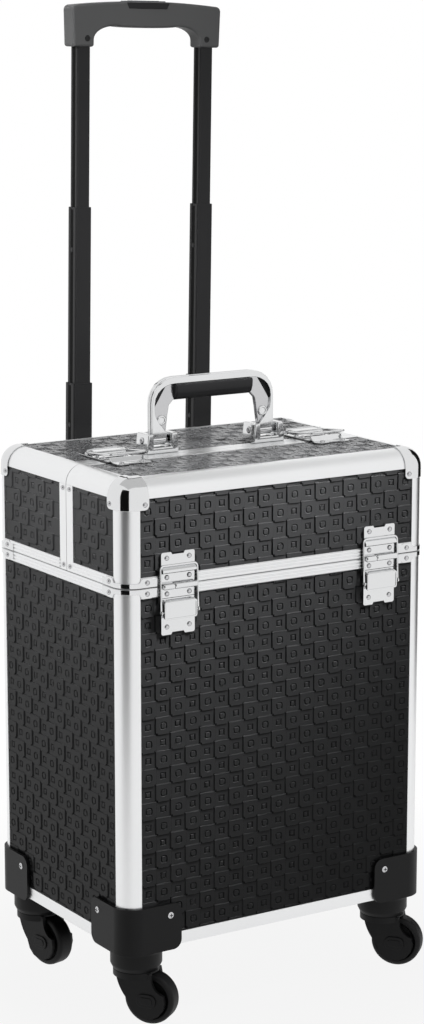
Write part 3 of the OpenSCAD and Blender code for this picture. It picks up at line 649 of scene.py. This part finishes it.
# Bail: a wire that stands a few degrees off its strike
BAIL_Y, BAIL_Z, BAIL_X, BAIL_TOP = -0.2, -24.0, 19.7, 20.0
BAIL_WIRE, BAIL_BEND = 1.0, 3.4
BAIL_FOLD, BAIL_LEAN = 6, -2.4
BAIL_PIN_R, BAIL_PIN_OVER = 0.8, 0.9
EYE_R, EYE_WIRE = 1.6, 0.72 * BAIL_WIRE


def bar(shape, place, x0, x1, y, z, r, turns=18):
    """A round bar along x with softened ends"""
    ends = min(0.35 * r, 0.8)
    profile = [(r - ends, x0), (r, x0 + ends), (r, x1 - ends), (r - ends, x1)]
    shape.lathe(profile, facing_x(place, (0, y, z)), turns)


def eared_plate(z_flat, z_ear):
    """Outline of a plate with a straight end and, at its other end, two ears with a shallow notch between"""
    up = 1 if z_ear > z_flat else -1
    ear = arc(LATCH_HALF - EAR_R, 0, EAR_R, 0, 90, 3)
    right = [(LATCH_HALF, z_flat)]
    right += [(x, z_ear - up * (EAR_R - z)) for x, z in ear]
    right += [(NOTCH_HALF + NOTCH_SLOPE, z_ear), (NOTCH_HALF - NOTCH_SLOPE, z_ear - up * NOTCH_D)]
    return mirrored(right)


def leaf_outline(low, high):
    return moved(rounded(LATCH_HALF, (high - low) / 2, LEAF_R, 2), 0, (low + high) / 2)


def plate(shape, place, outline):
    """A plate that lies on the face of the case"""
    shape.prism(outline, 0, PLATE_T, facing_y(place, (0, FACE, 0)))


def pad(shape, place, low, high):
    """A thin black sheet behind a hinge leaf: painted shade that darkens the gaps round the latch over the
    rim behind it
    """
    outline = [(-SHADE_PAD_HALF, low), (SHADE_PAD_HALF, low), (SHADE_PAD_HALF, high), (-SHADE_PAD_HALF, high)]
    shape.prism(outline, -SHADE_PAD_SUNK, SHADE_PAD_T, facing_y(place, (0, FACE, 0)))


def plate_rivets(shape, place, rows):
    for z in rows:
        for x in (-RIVET_SPREAD, RIVET_SPREAD):
            rivet(shape, facing_y(place, (x, FACE + PLATE_T, z)))


def strike(shape, rivets, place):
    """The lid's plate: two riveted ears, and below a crease the bent flap that the wire hooks over"""
    plate(shape, place, eared_plate(CREASE, STRIKE_TOP))
    plate(shape, place, leaf_outline(*LEAF))
    plate_rivets(rivets, place, STRIKE_RIVETS)
    inside = [(h - FLAP_T, down + FLAP_LAP) for h, down in reversed(FLAP)]
    flap = [(FACE + h, CREASE - down) for h, down in FLAP + inside]
    shape.prism(flap, -LATCH_HALF, LATCH_HALF, facing_x(place))


def base(shape, rivets, place):
    """The plate under the lever, with the two lugs that carry its pivot"""
    plate(shape, place, eared_plate(-LEAF[1] - LEAF_GAP, BASE_BOTTOM))
    plate(shape, place, leaf_outline(-LEAF[1], -LEAF[0]))
    plate_rivets(rivets, place, BASE_RIVETS)
    for x in (-LUG_X, LUG_X):
        shape.prism(LUG, x - LUG_HALF_T, x + LUG_HALF_T, facing_x(place))


def knuckle(shape, place, x0, x1, up):
    """The rolled part of a hinge leaf round its pin, with the strip that joins it to the leaf"""
    bar(shape, place, x0, x1, 0, 0, KNUCKLE_R, 20)
    shape.prism([(y, up * z) for y, z in STRIP], x0, x1, facing_x(place))


def lever(shape, place):
    """A pressed lever: a roll round its pivot, a face with a raised rim, and turned-in sides"""
    half_z = (LEVER_TOP - LEVER_LOW) / 2
    bar(shape, place, -ROLL_HALF, ROLL_HALF, LEVER_Y, LEVER_Z, ROLL_R)
    at = facing_y(place, (0, LEVER_FACE, (LEVER_TOP + LEVER_LOW) / 2))
    outer = rounded(LEVER_HALF, half_z, LEVER_R)
    inner = rounded(LEVER_HALF - LEVER_RIM, half_z - LEVER_RIM, LEVER_RIM_R)
    shape.prism(outer, 0, LEVER_T, at)
    ring_wall(shape, at, outer, inner, *LEVER_RIM_Z)
    for x in (-CHEEK_X, CHEEK_X):
        shape.prism(CHEEK, x - CHEEK_HALF_T, x + CHEEK_HALF_T, facing_x(place))


def bail_pin(shape, place):
    half = BAIL_X + BAIL_PIN_OVER
    bar(shape, place, -half, half, BAIL_Y, BAIL_Z, BAIL_PIN_R, 14)


def bail(shape, place, fold):
    """The wire loop with an eye at each end, folded outwards about its pin by an angle"""
    turn = Matrix.Rotation(math.radians(-fold), 4, "X")
    place = place @ Matrix.Translation((0, BAIL_Y, BAIL_Z)) @ turn
    top = BAIL_TOP - BAIL_Z - BAIL_WIRE
    half = [(BAIL_X, EYE_R), (BAIL_X, top / 2)]
    half += arc(BAIL_X - BAIL_BEND, top - BAIL_BEND, BAIL_BEND, 0, 90, 7)
    shape.tube([(x, 0, z) for x, z in mirrored(half)], BAIL_WIRE, place, 12)
    eye = [math.radians(a) for a in range(90, 421, 22)]
    for x in (-BAIL_X, BAIL_X):
        shape.tube([(x, EYE_R * math.cos(a), EYE_R * math.sin(a)) for a in eye], EYE_WIRE, place, 10)


def on_front(side):
    return axes((side * LATCH_X, -HALF_D - PIN_OUT, SPLIT_Z), X, -Y, Z)


def on_top(side):
    return axes((side * LATCH_X, SEAM_Y, TOP_Z + PIN_OUT), X, Z, -Y)


def latch_row(row, spot_of, base_body, shade_pad_names):
    """The fixed parts of a row of two latches; those on the front are hinges too"""
    strikes, strike_rivets, strike_shade_pads = Shape(), Shape(), Shape()
    bases, base_rivets, base_shade_pads = Shape(), Shape(), Shape()
    for side in SIDES.values():
        place = spot_of(side)
        # Black sheets behind the plates: painted shade in the gaps round the latch
        pad(strike_shade_pads, place, *STRIKE_SHADE_PAD)
        pad(base_shade_pads, place, *BASE_SHADE_PAD)
        strike(strikes, strike_rivets, place)
        base(bases, base_rivets, place)
        if row == "front":
            knuckle(strikes, place, -LATCH_HALF, KNUCKLE_SPLIT - KNUCKLE_GAP, 1)
            knuckle(bases, place, KNUCKLE_SPLIT, LATCH_HALF, -1)
    piece(shade_pad_names[0], strike_shade_pads, "front_lid", PLASTIC, bevel=0.1)
    piece(shade_pad_names[1], base_shade_pads, base_body, PLASTIC, bevel=0.1)
    piece(row + "_strikes", strikes, "front_lid", CHROME, replaces=[row + "_latch_strikes"], bevel=0.25)
    piece(row + "_strike_rivets", strike_rivets, "front_lid", SATIN, bevel=0)
    piece(row + "_bases", bases, base_body, CHROME, replaces=[row + "_latch_bases"], bevel=0.25)
    piece(row + "_base_rivets", base_rivets, base_body, SATIN, bevel=0)


latch_row("front", on_front, "case_body", ("front_lid_shade_pads", "front_body_shade_pads"))
latch_row("top", on_top, "rear_lid", ("top_strike_pads", "top_base_pads"))
pins = Shape()
for side in SIDES.values():
    bar(pins, on_front(side), -LATCH_HALF - PIN_OVER, LATCH_HALF + PIN_OVER, 0, 0, PIN_R)
piece("front_pins", pins, "case_body", CHROME, replaces=["front_hinge_pins"], bevel=0)

for name, side in SIDES.items():
    for row, spot_of, fold in (("front", on_front, BAIL_LEAN), ("top", on_top, BAIL_FOLD)):
        latch = f"{row}_latch_{name}_"
        levers, rods, wires = Shape(), Shape(), Shape()
        lever(levers, spot_of(side))
        bail_pin(rods if row == "front" else levers, spot_of(side))
        bail(wires, spot_of(side), fold)
        piece(latch + "lever_plate", levers, latch + "lever", CHROME, replaces=[latch + "lever"], bevel=0.25)
        if row == "front":
            piece(latch + "pin_rod", rods, latch + "bail_pin", CHROME, replaces=[latch + "bail_pin"], bevel=0)
        piece(latch + "wire", wires, latch + "bail", CHROME, replaces=[latch + "bail"], bevel=0)
for node in ("rear_hinge_lower_leaves", "rear_hinge_upper_leaves", "rear_hinge_pins"):
    dress(node, CHROME, 0.3)

# Carry handle, drawn from the middle of its feet on the lid: x across, y back, z up

feet_low, feet_high = box_mm("handle_feet")
frame_high = box_mm("carry_handle_frame")[1]
FOOT_Y = (feet_low.y + feet_high.y) / 2
FOOT_D, FOOT_H = feet_high.y - feet_low.y, feet_high.z - feet_low.z
FOOT_HALF, FOOT_TAPER, FOOT_SLOT, FOOT_FLOOR = 18.0, 1.8, 9.8, 6.0
FOOT_PIN_R, FOOT_PIN_BACK = 1.9, 1.3
FOOT_PIN_HEAD = [(3.4, 0), (3.4, 0.6), (2.7, 1.1), (1.6, 1.2), (1.4, 0.6)]
PIVOT_H = 12.0
HEEL_R, HEEL_HALF = 5.2, 8.0
HANDLE_HALF = frame_high.x
HANDLE_H = frame_high.z - TOP_Z
HANDLE_R = 25.0
FRAME_HALF, FRAME_GROOVE, FRAME_LIP, FRAME_FLOOR = 5.0, 1.6, 2.3, 1.8
LEG_BANDS = ((9.5, 16.0), (17.0, 16.0), (22.5, 12.0), (27.5, 7.7), (34.0, 3.7), (40.0, 2.7))
LEG_X = HANDLE_HALF - LEG_BANDS[0][1] / 2
SHOULDER_BANDS = (2.7, 2.9, 3.6, 4.6, 5.4, 6.0, 6.3)
TOP_BAND = SHOULDER_BANDS[-1]
# Outlines of the right gusset and of the hollow above it, which share an edge; a black slab fills the hollow
# as painted shade of the opening
GUSSET_EDGE = [(51, 65), (65.6, 42)]
GUSSET = GUSSET_EDGE + [(65.8, 36), (61, 27.5), (52.7, 18), (50.3, 35.6), (48.7, 44.2), (42.8, 50)]
GUSSET += [(42.8, 65)]
SHADED_HOLLOW = GUSSET_EDGE + [(66.4, 50), (63, 58), (57, 62.5)]
GUSSET_HALF_T, HOLLOW_HALF_T = 2.4, 1.2
BOSS_X, BOSS_Y, BOSS_Z = 57.5, 2.2, 30.5
BOSS = [(5.0, 0), (5.0, 1.3), (4.3, 1.9), (3.1, 1.9), (2.9, 1.0), (0.6, 1.0)]
BAR_HALF, BAR_H, BAR_DEPTH, BAR_GAP = 43.0, 16.0, 17.0, 0.2
BAR_ROUND, BAR_END, BAR_END_SCALE = 7.4, 0.5, 0.95
BAR_SIDE = ((1.0, 0.0), (0.0, 2.0), (0.4, 8.0))
handle_at = axes((0, FOOT_Y, TOP_Z), X, Y, Z)


def frame_stations():
    """Points round the frame's outer edge, each with its outward direction and its band's width"""
    stations = [(HANDLE_HALF, z, 0, width) for z, width in LEG_BANDS]
    turns = len(SHOULDER_BANDS) - 1
    shoulder = arc(HANDLE_HALF - HANDLE_R, HANDLE_H - HANDLE_R, HANDLE_R, 0, 90, turns)
    stations += [(x, z, i * 90 / turns, SHOULDER_BANDS[i]) for i, (x, z) in enumerate(shoulder)]
    stations += [(-x, z, 180 - angle, width) for x, z, angle, width in reversed(stations)]
    for x, z, angle, width in stations:
        out = Vector((math.cos(math.radians(angle)), 0, math.sin(math.radians(angle))))
        yield Vector((x, 0, z)), out, width


def frame_ring(point, out, width):
    """Cross-section of the frame: flat front and back, and outside a groove between two rims"""
    half = [(0, FRAME_HALF), (0, FRAME_LIP), (-FRAME_GROOVE, FRAME_FLOOR)]
    section = half + [(u, -v) for u, v in reversed(half)] + [(-width, -FRAME_HALF), (-width, FRAME_HALF)]
    return [point + out * u + Y * v for u, v in section]


def grip_bar_rings():
    """Cross-sections of the bar under the frame's top: flat above, waisted at the sides and round below"""
    low_z, high_z = HANDLE_H - TOP_BAND - BAR_H, HANDLE_H - TOP_BAND - BAR_GAP
    middle_z = (low_z + high_z) / 2
    side = [(BAR_DEPTH / 2 - inwards, high_z - down) for inwards, down in BAR_SIDE]
    section = side + arc(0, low_z + BAR_ROUND, BAR_ROUND, -10, -170, 10)
    section += [(-y, z) for y, z in reversed(side)]
    rings = []
    for x, scale in ((-BAR_HALF, BAR_END_SCALE), (BAR_END - BAR_HALF, 1.0)):
        rings.append([(x, y * scale, middle_z + (z - middle_z) * scale) for y, z in section])
    return rings + [[(-x, y, z) for x, y, z in ring] for ring in reversed(rings)]


handle, gussets, bosses, hollow_shades = Shape(), Shape(), Shape(), Shape()
handle.skin([frame_ring(*station) for station in frame_stations()], handle_at)
for side in (-1, 1):
    bar(handle, handle_at, side * LEG_X - HEEL_HALF, side * LEG_X + HEEL_HALF, 0, PIVOT_H, HEEL_R, 24)
    for shape, outline, half_t in ((gussets, GUSSET, GUSSET_HALF_T), (hollow_shades, SHADED_HOLLOW, HOLLOW_HALF_T)):
        shape.prism([(side * x, z) for x, z in outline], -half_t, half_t, facing_y(handle_at))
    for face in (-1, 1):
        bosses.lathe(BOSS, facing_y(handle_at, (side * BOSS_X, face * BOSS_Y, BOSS_Z), face), 24)
piece("handle_frame", handle, "carry_handle", CHROME, replaces=["carry_handle_frame"], bevel=0.4)
# A black slab in each hollow: painted shade of the opening
piece("handle_hollows", hollow_shades, "carry_handle", PLASTIC, bevel=0.2)
piece("handle_gussets", gussets, "carry_handle", SATIN, bevel=0.6, segments=3)
piece("handle_bosses", bosses, "carry_handle", CHROME, bevel=0.2)

grip_bar = Shape()
grip_bar.skin(grip_bar_rings(), handle_at)
piece("handle_grip", grip_bar, "carry_handle", PLASTIC, replaces=["carry_handle_grip"], bevel=0.5)

feet, foot_pins = Shape(), Shape()
for side in (-1, 1):
    foot_at = handle_at @ Matrix.Translation((side * LEG_X, 0, 0))
    yoke = [(FOOT_HALF, 0), (FOOT_HALF - FOOT_TAPER, FOOT_H), (FOOT_SLOT, FOOT_H), (FOOT_SLOT, FOOT_FLOOR)]
    feet.prism(mirrored(yoke), -FOOT_D / 2, FOOT_D / 2, facing_y(foot_at))
    for wing in (-1, 1):
        head_at = (wing * (FOOT_HALF - FOOT_PIN_BACK), 0, PIVOT_H)
        foot_pins.lathe(FOOT_PIN_HEAD, facing_x(foot_at, head_at, wing), 18)
    rod = [(FOOT_PIN_R, -FOOT_SLOT), (FOOT_PIN_R, FOOT_SLOT)]
    foot_pins.lathe(rod, facing_x(foot_at, (0, 0, PIVOT_H)), 16)
piece("handle_yokes", feet, "rear_lid", CHROME, replaces=["handle_feet"], bevel=1.4, segments=3)
piece("handle_pins", foot_pins, "rear_lid", SATIN, bevel=0.2)

# Trolley, drawn upright and then leaned as its slides are

joints = {j["name"]: j for j in frame["record"]["behaviour"]["joints"]}
lean_axis = Vector(joints["trolley_lower_slide"]["axis"])
LEAN = math.atan2(lean_axis.x, lean_axis.z)
outer_low, outer_high = box_mm("trolley_outer_tubes")
middle_of_outer = (outer_low + outer_high) / 2
POST_X = 70.0
leaning = (
    Matrix.Translation(middle_of_outer)
    @ Matrix.Rotation(LEAN, 4, "Y")
    @ Matrix.Translation((0, 0, -middle_of_outer.z))
)
TUBE_W, TUBE_STEP, TUBE_WALL = 14.5, 3.4, 0.7
TUBE_R, LEAST_R = 1.8, 0.8
GROOVE_HALF, GROOVE_IN, GROOVE_SLOPE = 3.0, 0.55, 0.5
# Sizes of the dark strips on each groove's floor, which are painted shade
STRIP_HALF_T, STRIP_IN, STRIP_R, STRIP_SHORT = 0.2, 0.6, 0.1, 0.5
COLLAR_IN, COLLAR_FIT, COLLAR_LAP, COLLAR_H = 0.05, 0.25, 0.2, 1.6
LOCK_DROP, LOCK_BACK = 40.0, 0.8
LOCK = [(2.4, 0), (2.4, 0.75), (1.9, 1.0), (0.6, 1.05)]
# Each stage's number, counted from the thinnest, and its body
STAGES = {"outer": (4, "case_body"), "lower": (3, "trolley_lower"), "middle": (2, "trolley_middle"),
          "upper": (1, "trolley_upper")}
stage_boxes = {stage: box_mm(f"trolley_{name}_tubes") for name, (stage, _) in STAGES.items()}


def tube_half(stage):
    return (TUBE_W + TUBE_STEP * (stage - 1)) / 2


def tube_outline(stage, inset):
    """A rounded tube with a shallow groove down each side, shrunk by an inset"""
    low, high = stage_boxes[stage]
    half_x, half_y = tube_half(stage) - inset, (high.y - low.y) / 2 - inset
    r = max(TUBE_R - inset, LEAST_R)
    groove = [(half_x, -GROOVE_HALF), (half_x - GROOVE_IN, GROOVE_SLOPE - GROOVE_HALF)]
    groove += [(x, -y) for x, y in reversed(groove)]
    right = arc(half_x - r, r - half_y, r, -90, 0, 4) + groove + arc(half_x - r, half_y - r, r, 0, 90, 4)
    return right + [(-x, -y) for x, y in right]


def stage_span(stage):
    """Height of a stage's ends along the leaning posts"""
    low, high = stage_boxes[stage]
    over = (POST_X + tube_half(stage)) * math.sin(LEAN)
    return low.z + over, high.z - over


for name, (stage, body) in STAGES.items():
    low, high = stage_span(stage)
    tubes, groove_shades, collars, locks = Shape(), Shape(), Shape(), Shape()
    for side in (-1, 1):
        post = leaning @ Matrix.Translation((side * POST_X, 0, 0))
        ring_wall(tubes, post, tube_outline(stage, 0), tube_outline(stage, TUBE_WALL), low, high)
        # Dark strips on each groove's floor: painted shade in the groove
        for face in (-1, 1):
            strip = rounded(STRIP_HALF_T, GROOVE_HALF - STRIP_IN, STRIP_R, 1)
            strip = moved(strip, face * (tube_half(stage) - GROOVE_IN), 0)
            groove_shades.prism(strip, low + STRIP_SHORT, high - STRIP_SHORT, post)
        if stage > 1:
            outer, inner = tube_outline(stage, COLLAR_IN), tube_outline(stage - 1, -COLLAR_FIT)
            ring_wall(collars, post, outer, inner, high - COLLAR_LAP, high + COLLAR_H)
            for face in (-1, 1):
                lock_at = (face * (tube_half(stage) - LOCK_BACK), 0, high - LOCK_DROP)
                locks.lathe(LOCK, facing_x(post, lock_at, face), 16)
    piece(f"trolley_{name}_posts", tubes, body, TUBE, replaces=[f"trolley_{name}_tubes"], bevel=0.2)
    piece(f"trolley_{name}_grooves", groove_shades, body, GROOVE_SHADE, bevel=0)
    if stage > 1:
        piece(f"trolley_{name}_collars", collars, body, PLASTIC, bevel=0.3)
        piece(f"trolley_{name}_locks", locks, body, PLASTIC, bevel=0.2)
dress("trolley_mounts", PLASTIC, 0.8, 3)

# Trolley grip, drawn from the middle of its top: x across, y back, z up

grip_low, grip_high = box_mm("trolley_grip")
GRIP_HALF, GRIP_LEG_W, GRIP_LEG_H = POST_X + 14.5, 24.5, 44.0
GRIP_D = grip_high.y - grip_low.y
GRIP_BAR_H, GRIP_CROWN, GRIP_R, GRIP_TAPER = 24.0, 4.0, 5.0, 1.2
GRIP_ARCH, GRIP_PAD = (24.0, 13.0), (34.0, 1.6)
GRIP_OVER = 20.0
WINDOW, WINDOW_BACK, WINDOW_T = [(24.5, -1.2), (21.5, -7.2)], 0.2, 0.7
GRIP_SCREW = [(3.0, 0), (3.0, 0.5), (2.5, 0.75), (1.3, 0.8), (1.2, 0.4)]
GRIP_SCREW_X, GRIP_SCREW_Z, GRIP_SCREW_BACK = POST_X - 2, -36.0, 0.3
BUTTON_HALF, BUTTON_D, BUTTON_R, BUTTON_H, BUTTON_RISE = 23.0, 13.0, 3.0, 8.0, 0.5
RIDGE_HALF, RIDGE_SHORT, RIDGE_R, RIDGE_PITCH, RIDGE_Z = 1.1, 2.5, 0.6, 5.0, (-0.1, 0.35)
grip_at = leaning @ Matrix.Translation((0, 0, stage_span(1)[1] + GRIP_OVER))


def grip_outline():
    """Front outline of the grip: crowned top, two legs, arched underside with a shallow pad"""
    leg_in, foot = GRIP_HALF - GRIP_LEG_W, GRIP_HALF - GRIP_TAPER
    corner_x = GRIP_HALF - GRIP_R
    right = [(foot, -GRIP_LEG_H)] + arc(corner_x, -GRIP_CROWN - GRIP_R, GRIP_R, 0, 85, 6)
    right += [(corner_x * i / 8, -GRIP_CROWN * (i / 8) ** 2) for i in range(7, 0, -1)]
    top = right + [(0, 0)] + [(-x, z) for x, z in reversed(right)]
    under = [(-leg_in, -GRIP_LEG_H)]
    under += oval(GRIP_ARCH[0] - leg_in, -GRIP_BAR_H - GRIP_ARCH[1], *GRIP_ARCH, 180, 90, 8)
    under += oval(0, -GRIP_BAR_H, *GRIP_PAD, 180, 270, 6)
    return top + under + [(-x, z) for x, z in reversed(under[:-1])]


grip = Shape()
grip.prism(grip_outline(), -GRIP_D / 2, GRIP_D / 2, facing_y(grip_at))
piece("grip_shell", grip, "trolley_upper", GRIP, replaces=["trolley_grip"], bevel=2.6, segments=4)

windows, screws = Shape(), Shape()
for face in (-1, 1):
    window_at = (0, face * (GRIP_D / 2 - WINDOW_BACK), 0)
    windows.prism(mirrored(WINDOW), 0, WINDOW_T, facing_y(grip_at, window_at, face))
    for side in (-1, 1):
        screw_at = (side * GRIP_SCREW_X, face * (GRIP_D / 2 - GRIP_SCREW_BACK), GRIP_SCREW_Z)
        screws.lathe(GRIP_SCREW, facing_y(grip_at, screw_at, face), 18)
piece("grip_window", windows, "trolley_upper", PLASTIC, bevel=0.3)
piece("grip_screws", screws, "trolley_upper", PLASTIC, bevel=0.1)

button = Shape()
button.prism(rounded(BUTTON_HALF, BUTTON_D / 2, BUTTON_R), BUTTON_RISE - BUTTON_H, BUTTON_RISE, grip_at)
ridge = rounded(RIDGE_HALF, BUTTON_D / 2 - RIDGE_SHORT, RIDGE_R, 2)
for i in range(-3, 4):
    button.prism(moved(ridge, RIDGE_PITCH * i, 0), *(BUTTON_RISE + z for z in RIDGE_Z), grip_at)
piece("release_button", button, "release_button", GRIP, replaces=["grip_button"], bevel=0.5)

# Brackets, screws and casters

screw_low, screw_high = box_mm("bracket_screws")
SCREW_Z = (screw_low.z + screw_high.z) / 2
SCREW_R = (screw_high.z - screw_low.z) / 2
BRACKET_W, SCREW_IN = 59.0, 12.0
BRACKET_T = -box_mm("foot_brackets")[0].x - HALF_W
SCREW_HEAD = [(SCREW_R, -SUNK), (SCREW_R, 0.35), (SCREW_R * 0.8, 0.9), (SCREW_R * 0.45, 1.15)]
CROSS_LONG, CROSS_SHORT, CROSS_R, CROSS_Z = 1.9, 0.45, 0.2, (1.0, 1.19)
CHEEK_OUT, AXLE_CAP_BACK = 13.8, 0.3
# Half sizes, corner and heights of the two steps of an axle cap
AXLE_CAP = ((10, 6.5, 6.4, 0, 1.5), (6.5, 3.6, 3.5, 1.2, 2.0))

dress("foot_brackets", PLASTIC, 0.9, 3)
screws = Shape()
for place in corners.values():
    for spot in face_spots(place, BRACKET_W - SCREW_IN - EDGE_R, EDGE_R + BRACKET_T, SCREW_Z):
        screws.lathe(SCREW_HEAD, spot, 20)
        # The cross on each head is black plastic laid on it: painted shade of the recessed cross
        for half in ((CROSS_LONG, CROSS_SHORT), (CROSS_SHORT, CROSS_LONG)):
            screws.prism(rounded(*half, CROSS_R, 2), *CROSS_Z, spot, tint=1)
piece("bracket_screw_heads", screws, "case_body", (SATIN, PLASTIC), replaces=["bracket_screws"], bevel=0.1)

for name in ("front_left", "front_right", "rear_left", "rear_right"):
    fork, wheel = f"caster_{name}_fork", f"caster_{name}_wheel"
    spin = joints[f"caster_{name}_spin"]
    axle = Vector(spin["axis"])
    hub = Vector(spin["pos_m"]) / MM
    caps = Shape()
    for side in (-1, 1):
        middle = hub + side * axle * (CHEEK_OUT - AXLE_CAP_BACK)
        spot = axes(middle, axle.cross(Z) * side, Z, axle * side)
        for half_x, half_y, r, low, high in AXLE_CAP:
            caps.prism(rounded(half_x, half_y, r, 6), low, high, spot)
    piece(f"caster_{name}_caps", caps, fork, PLASTIC, bevel=0.5)
    dress(fork, PLASTIC, 0.8, 3)
    dress(wheel, TYRE, 0.6, 3)

# Camera, light and stage, in metres

TARGET = Vector((-1.25, -5.0, BASE_Z + 381.0)) * MM
AZIMUTH, ELEVATION, DISTANCE = math.radians(-32.45), math.radians(11.03), 2.54867
LENS = 92.6
AMBIENT = 0.06
FLOOR_HALF, FLOOR_TONE = 6.0, 0.35
SHADOW_NEAR, SHADOW_FAR, SHADOW_WHITE = 0.22, 0.60, 0.90
FLAG_DISTANCE, FLAG_H = 1.3, 1.6
CEILING_Z, CEILING_HALF, CEILING_GLOW = 2.2, 1.2, 0.65

back = Vector((
    math.sin(AZIMUTH) * math.cos(ELEVATION), -math.cos(AZIMUTH) * math.cos(ELEVATION), math.sin(ELEVATION)))
camera = bpy.data.objects.new("camera", bpy.data.cameras.new("camera"))
camera.data.lens = LENS
camera.location = TARGET + DISTANCE * back
camera.rotation_euler = (-back).to_track_quat("-Z", "Y").to_euler()
bpy.context.scene.collection.objects.link(camera)
bpy.context.scene.camera = camera
bpy.context.scene.view_settings.view_transform = "Standard"


def lamp(name, place, aim, size, watts, spread=180):
    """A round soft lamp that shines towards a point; its spread is in degrees"""
    data = bpy.data.lights.new(name, "AREA")
    data.shape = "DISK"
    data.size = size
    data.energy = watts
    data.spread = math.radians(spread)
    obj = bpy.data.objects.new(name, data)
    obj.location = place
    obj.rotation_euler = (Vector(aim) - Vector(place)).to_track_quat("-Z", "Y").to_euler()
    obj.visible_camera = False
    obj.visible_glossy = False
    bpy.context.scene.collection.objects.link(obj)


def shown_rays(tree):
    """1 for rays that show the background, straight or reflected, and 0 for light on objects"""
    rays = add_node(tree, "LightPath")
    last = rays.outputs["Is Camera Ray"]
    for name in ("Is Glossy Ray", "Is Transmission Ray"):
        either = add_node(tree, "Math")
        either.operation = "MAXIMUM"
        tree.links.new(last, either.inputs[0])
        tree.links.new(rays.outputs[name], either.inputs[1])
        last = either.outputs[0]
    return last


def mix_surface(tree, factor, first, second, output):
    """Makes a surface of two shaders, with the second one's share given by a factor"""
    mix = add_node(tree, "MixShader")
    for source, socket in zip((factor, first.outputs[0], second.outputs[0]), mix.inputs):
        tree.links.new(source, socket)
    tree.links.new(mix.outputs[0], tree.nodes[output].inputs["Surface"])


def light_world():
    """A faint even light, and a white background"""
    world = bpy.data.worlds.new("studio")
    bpy.context.scene.world = world
    world.use_nodes = True
    tree = world.node_tree
    ambient = tree.nodes["Background"]
    set_inputs(ambient, {"Color": (0.95, 0.97, 1.0, 1), "Strength": AMBIENT})
    white = add_node(tree, "Background", {"Color": (1, 1, 1, 1)})
    mix_surface(tree, shown_rays(tree), ambient, white, "World Output")


def sheet_object(name, place, half_x, half_y, mat):
    """A flat piece of the stage, drawn about its middle and put in place"""
    mesh = bpy.data.meshes.new(name)
    outline = [(-half_x, -half_y, 0), (half_x, -half_y, 0), (half_x, half_y, 0), (-half_x, half_y, 0)]
    mesh.from_pydata(outline, [], [[0, 1, 2, 3]])
    mesh.materials.append(mat)
    obj = bpy.data.objects.new(name, mesh)
    obj.matrix_world = place
    bpy.context.scene.collection.objects.link(obj)
    return obj


def floor_material():
    """A pale floor that keeps the object's shadow and fades into the white background"""
    mat = bpy.data.materials.new("floor")
    mat.use_nodes = True
    tree = mat.node_tree
    tree.nodes.remove(tree.nodes["Principled BSDF"])
    pale = add_node(tree, "BsdfDiffuse", {"Color": (FLOOR_TONE, FLOOR_TONE, FLOOR_TONE, 1)})
    glow = add_node(tree, "Emission")
    coord = add_node(tree, "TexCoord")
    length = add_node(tree, "VectorMath")
    length.operation = "LENGTH"
    fade = add_node(
        tree, "MapRange",
        {"From Min": SHADOW_NEAR, "From Max": SHADOW_FAR, "To Min": SHADOW_WHITE, "To Max": 1.0})
    shown = add_node(tree, "Math")
    shown.operation = "MULTIPLY"
    tree.links.new(coord.outputs["Object"], length.inputs[0])
    tree.links.new(length.outputs["Value"], fade.inputs["Value"])
    tree.links.new(fade.outputs["Result"], shown.inputs[0])
    tree.links.new(shown_rays(tree), shown.inputs[1])
    mix_surface(tree, shown.outputs[0], pale, glow, "Material Output")
    return mat


def card_material(name, glow):
    """A black sheet, or a grey one that glows by itself"""
    mat = material(name, (0.02, 0.02, 0.02), 0.9, specular=0.1)
    shader = mat.node_tree.nodes["Principled BSDF"]
    set_inputs(shader, {"Emission Color": (1, 1, 1, 1), "Emission Strength": glow})
    return mat


def only_in_metal(card):
    """Hides a sheet of the stage from all but reflections"""
    card.visible_camera = card.visible_diffuse = False
    card.visible_transmission = card.visible_shadow = False


def flag(name, bearing, half_w, mat):
    """A sheet beside the object; its bearing is counted from the front towards the left"""
    angle = math.radians(bearing)
    out = Vector((-math.sin(angle), -math.cos(angle), 0))
    place = axes(out * FLAG_DISTANCE + Z * FLAG_H / 2, Z.cross(out), Z, out)
    only_in_metal(sheet_object(name, place, half_w, FLAG_H / 2, mat))


lamp("key", (0.35, -0.42, 0.98), (0, -0.12, 0.63), 0.3, 1.65, 55)
lamp("left", (-0.75, 0.05, 1.15), (-0.1, 0, 0.72), 0.3, 1.6, 48)
lamp("grip", (-0.7, -1.2, 1.3), (0, 0.13, 0.93), 0.4, 0.8, 30)
lamp("right", (1.1, 0.1, 1.75), (0, 0, 0.40), 1.0, 4)
lamp("back", (0.2, 1.2, 1.8), (0, 0, 0.45), 1.0, 9)
light_world()
sheet_object("floor", Matrix(), FLOOR_HALF, FLOOR_HALF, floor_material())
black_card, grey_card = card_material("black_card", 0.0), card_material("grey_card", CEILING_GLOW)
flag("left_flag", 60, 0.52, black_card)
flag("right_flag", -95, 0.45, black_card)
above = Matrix.Translation((0, 0, CEILING_Z))
only_in_metal(sheet_object("ceiling", above, CEILING_HALF, CEILING_HALF, grey_card))
